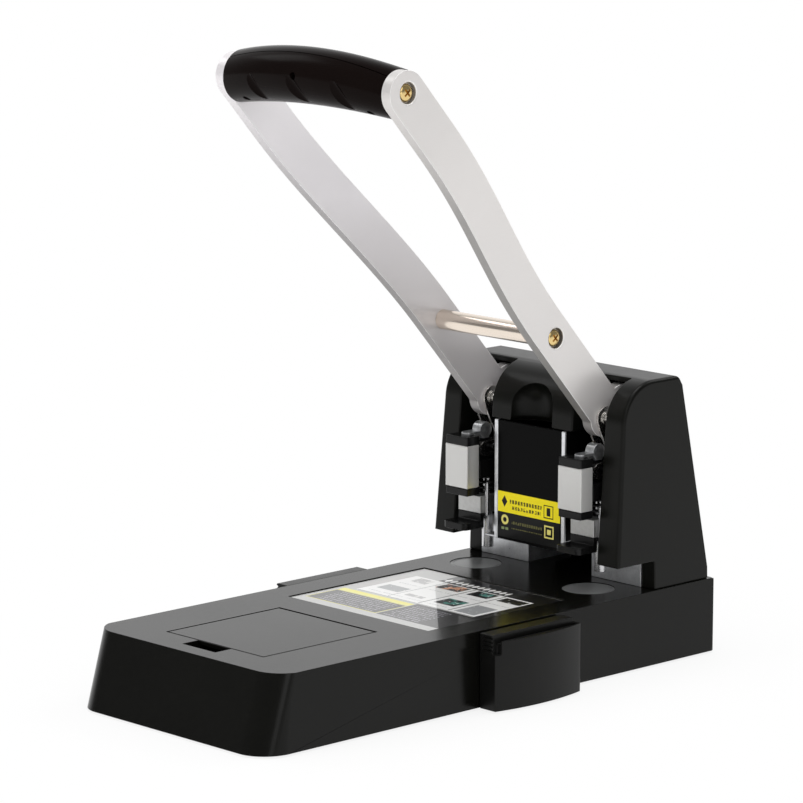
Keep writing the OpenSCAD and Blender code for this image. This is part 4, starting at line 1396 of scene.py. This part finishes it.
@dataclass
class Lever(SubAssembly):
    """The lever with its arms, grip, rod, links and the shaft that it turns on.

    rod_screw and grip_screw are the places of the screw heads in X, in millimetres. A face of an
    arm is a rim, with painted shade, where its normal has less of X than shaded_rim, and flat where
    it has more than flat; the faces between are rounded edges with a painted highlight.
    """

    rod_screw: float = 41.5
    grip_screw: float = 59.5
    shaded_rim: float = 0.25
    flat: float = 0.93

    def mark_faces(self, arm: Piece) -> None:
        """Mark an arm's rims and bore walls for painted shade and its rounded edges for a highlight."""
        for name in ARM_MARKS:
            arm.data.attributes.new(name, "FLOAT", "CORNER")
        marks = [arm.data.attributes[name].data for name in ARM_MARKS]
        bores = [LEVER_FRAME @ Vector((0, along * MM, off * MM)) for along, off in (ROD_SPOT, GRIP_SPOT)]
        for face in arm.data.polygons:
            aside = abs(face.normal.x)
            inside = any((face.center - bore).yz.length < BORE_REACH * MM for bore in bores)
            # Rims and bore walls get painted shade in the finish, rounded edges a painted highlight
            rounded = self.shaded_rim <= aside < self.flat
            values = (float(aside < self.shaded_rim), float(rounded), float(aside < self.shaded_rim and inside))
            for corner in face.loop_indices:
                for mark, value in zip(marks, values):
                    mark[corner].value = value

    def brass_screws(self, name: str) -> Piece:
        """Place the screw at the rod and at the grip on both sides.

        Args:
            name: Name of the piece.

        Returns:
            The four screws as one piece.
        """
        screw = BrassScrew().build("screw")
        copies = []
        for side in Side:
            mirror = Matrix.Scale(side.value, 4, (1, 0, 0))
            for x, (along, off) in ((self.rod_screw, ROD_SPOT), (self.grip_screw, GRIP_SPOT)):
                move = Matrix.Translation((x * MM, along * MM, off * MM))
                copies.append(Workbench.place_copy(screw, name, LEVER_FRAME @ mirror @ move))
        bpy.data.objects.remove(screw)
        Workbench.clear()
        for copy in copies:
            copy.select_set(True)
        bpy.context.view_layer.objects.active = copies[0]
        bpy.ops.object.join()
        copies[0].name = name
        Workbench.smooth(copies[0], 40)
        return copies[0]

    def build(self) -> None:
        """Make every piece of the lever."""
        for side in Side:
            arm = self.rounded(f"arm_{side.word}", "lever", "arm_aluminium", Rounding(0.9, 4))
            self.mark_faces(arm)
            self.rounded(f"link_{side.word}", f"link_{side.word}", "link_nickel", Rounding(0.3))
        upper, lower = Grip().build("grip_upper_piece", "grip_lower_piece")
        self.finish(upper, "lever", "grip_black", "grip_upper")
        self.finish(lower, "lever", "grip_black", "grip_lower")
        screws = self.brass_screws("lever_screws_piece")
        self.finish(screws, "lever", "screw_brass", "lever_screws")
        self.carry_over(
            "lever",
            ("cross_rod", "rod_nickel", Rounding(0.4)),
            ("link_pins", "link_nickel", Rounding(0.4, 3)),
            ("link_rings", "link_nickel", Rounding(0.3)),
            ("pivot_collars", "collar_silver", Rounding(0.4, 3)),
        )
        self.carry_over(
            "base",
            ("pivot_shaft", "pin_steel", Rounding(0.4)),
            ("shaft_clips", "screw_steel", Rounding(0.2)),
        )


# Studio


def looking(place: Point, aim: Point) -> Matrix:
    """Stand at one place and look at another, in metres."""
    way = Vector(aim) - Vector(place)
    return Matrix.Translation(place) @ way.to_track_quat("-Z", "Y").to_matrix().to_4x4()


@dataclass(frozen=True)
class Lamp:
    """One square soft box that looks at the punch; metres and watts."""

    name: str
    place: Point
    size: float
    watts: float
    glossy: bool = True
    aim: Point = (0, 0, 0.12)

    def hang(self) -> None:
        """Hang the box; glossy tells whether it shows in reflections."""
        data = bpy.data.lights.new(self.name, "AREA")
        data.shape = "SQUARE"
        data.size = self.size
        data.energy = self.watts
        lamp = bpy.data.objects.new(self.name, data)
        bpy.context.scene.collection.objects.link(lamp)
        lamp.matrix_world = looking(self.place, self.aim)
        lamp.visible_camera = False
        lamp.visible_glossy = self.glossy


@dataclass
class Studio:
    """Floor, world, lamps and the camera of the photograph's view, in metres.

    The roll is in degrees and the focal length in millimetres. sky lights the matt surfaces.
    Mirrors see room on the camera's side and backdrop behind the punch. shadow and halo are the
    depth and the width of the shadow that the floor keeps round the foot of the punch. behind is
    the way to the backdrop in X and Y; growth and start shape the step between the two tones.
    """

    eye: Point = (1.45220, -1.38584, 0.51103)
    aim: Point = (0.0, -0.00148, 0.13954)
    roll: float = 0.05
    focal: float = 187.62
    foot: tuple[float, float] = (0.075, 0.16)
    shadow: float = 0.16
    halo: float = 0.16
    sky: float = 0.55
    room: float = 0.22
    backdrop: float = 1.0
    behind: tuple[float, float] = (-0.72, 0.69)
    growth: float = 2.2
    start: float = 0.80

    def camera(self) -> None:
        """Stand the camera where the photograph was taken from."""
        data = bpy.data.cameras.new("view")
        data.lens = self.focal
        data.sensor_width = 36.0
        data.sensor_fit = "HORIZONTAL"
        data.clip_end = 100.0
        camera = bpy.data.objects.new("view", data)
        bpy.context.scene.collection.objects.link(camera)
        roll = Matrix.Rotation(math.radians(self.roll), 4, "Z")
        camera.matrix_world = looking(self.eye, self.aim) @ roll
        bpy.context.scene.camera = camera

    @staticmethod
    def rays(wiring: Wiring, *kinds: str) -> Signal:
        """One for rays of some kinds.

        Args:
            wiring: The tree of the material or world.
            kinds: Outputs of the Light Path node.

        Returns:
            The sum of the outputs, at most one.
        """
        path = wiring.node("ShaderNodeLightPath")
        total: Any = 0.0
        for kind in kinds:
            total = total + wiring.signal(path, kind)
        return total.at_most(1.0)

    def floor(self) -> None:
        """Lay a wide round floor with a turned-down rim."""
        disc = Workbench.disc("floor", 96, 14000, (0, 0, 0), (0, 0, 0))
        bpy.ops.mesh.extrude_region_move(TRANSFORM_OT_translate={"value": (0, 0, -0.05)})
        Workbench.done()
        Workbench.outward(disc)
        material = bpy.data.materials.new("floor_white")
        material.use_nodes = True
        wiring = Wiring(material.node_tree)
        tint = wiring.blend(wiring.noise(3, 2), (0.93, 0.93, 0.93), (0.95, 0.95, 0.95))
        matt = wiring.node(
            "ShaderNodeBsdfPrincipled", {},
            {"Base Color": tint, "Roughness": 0.9, "Specular IOR Level": 0.1})
        white = wiring.node("ShaderNodeEmission", {}, {"Color": (1, 1, 1), "Strength": 1.0})
        x, y, _ = wiring.axes()
        beside = (abs(x) - self.foot[0]).at_least(abs(y) - self.foot[1]).at_least(0.0)
        near = (1 - beside / self.halo).at_least(0.0)
        seen = self.rays(wiring, "Is Camera Ray", "Is Transmission Ray", "Is Glossy Ray")
        mixed = wiring.mix(seen * (1 - near * near * self.shadow), matt, white)
        wiring.node("ShaderNodeOutputMaterial", {}, {0: wiring.signal(mixed)})
        disc.data.materials.append(material)

    def world(self) -> None:
        """Plain soft light from all around, white where it is seen."""
        world = bpy.data.worlds.new("studio")
        bpy.context.scene.world = world
        world.use_nodes = True
        wiring = Wiring(world.node_tree)
        x, y, _ = wiring.axes(wiring.signal(wiring.node("ShaderNodeTexCoord"), "Generated"))
        ahead = x * self.behind[0] + y * self.behind[1]
        beyond = (ahead * self.growth - self.start).at_least(0.0).at_most(1.0)
        tone = wiring.blend(beyond, (self.room,) * 3, (self.backdrop,) * 3)
        soft, mirrored, white = (
            wiring.node("ShaderNodeBackground", {}, {"Color": colour, "Strength": strength})
            for colour, strength in (((1, 1, 1), self.sky), (tone, 1.0), ((1, 1, 1), 1.0)))
        inner = wiring.mix(self.rays(wiring, "Is Glossy Ray"), soft, mirrored)
        mixed = wiring.mix(self.rays(wiring, "Is Camera Ray", "Is Transmission Ray"), inner, white)
        wiring.node("ShaderNodeOutputWorld", {}, {0: wiring.signal(mixed)})

    def build(self) -> None:
        """Set up the whole studio."""
        bpy.context.scene.view_settings.view_transform = "Standard"
        self.camera()
        self.floor()
        self.world()
        for lamp in (
            Lamp("overhead", (0.2, 0.1, 2.4), 1.4, 20),
            Lamp("rear_strip", (0.5, 1.75, 1.85), 0.8, 6),
            Lamp("left_strip", (-1.9, -0.5, 1.85), 0.8, 4),
            Lamp("camera_side", (2.0, -1.2, 1.8), 1.6, 10),
            Lamp("front_fill", (-0.7, -2.2, 1.0), 1.2, 15, glossy=False),
            Lamp("edge_card", (1.9, -0.95, 0.32), 0.45, 1.2),
        ):
            lamp.hang()


def main() -> None:
    """Build the dressed punch and log how many pieces each part has."""
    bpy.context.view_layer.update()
    Studio().build()
    palette = Palette()
    parts: list[Any] = [
        BaseUnit(palette), SideGuides(palette), Head(palette), PunchUnits(palette), Lever(palette)]
    for part in parts:
        part.build()
        LOG.info("%s: %d pieces", type(part).__name__, len(part.pieces))
    bpy.context.view_layer.update()


if __name__ == "__main__":
    logging.basicConfig(level=logging.INFO, format="%(message)s")
    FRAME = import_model()
    main()
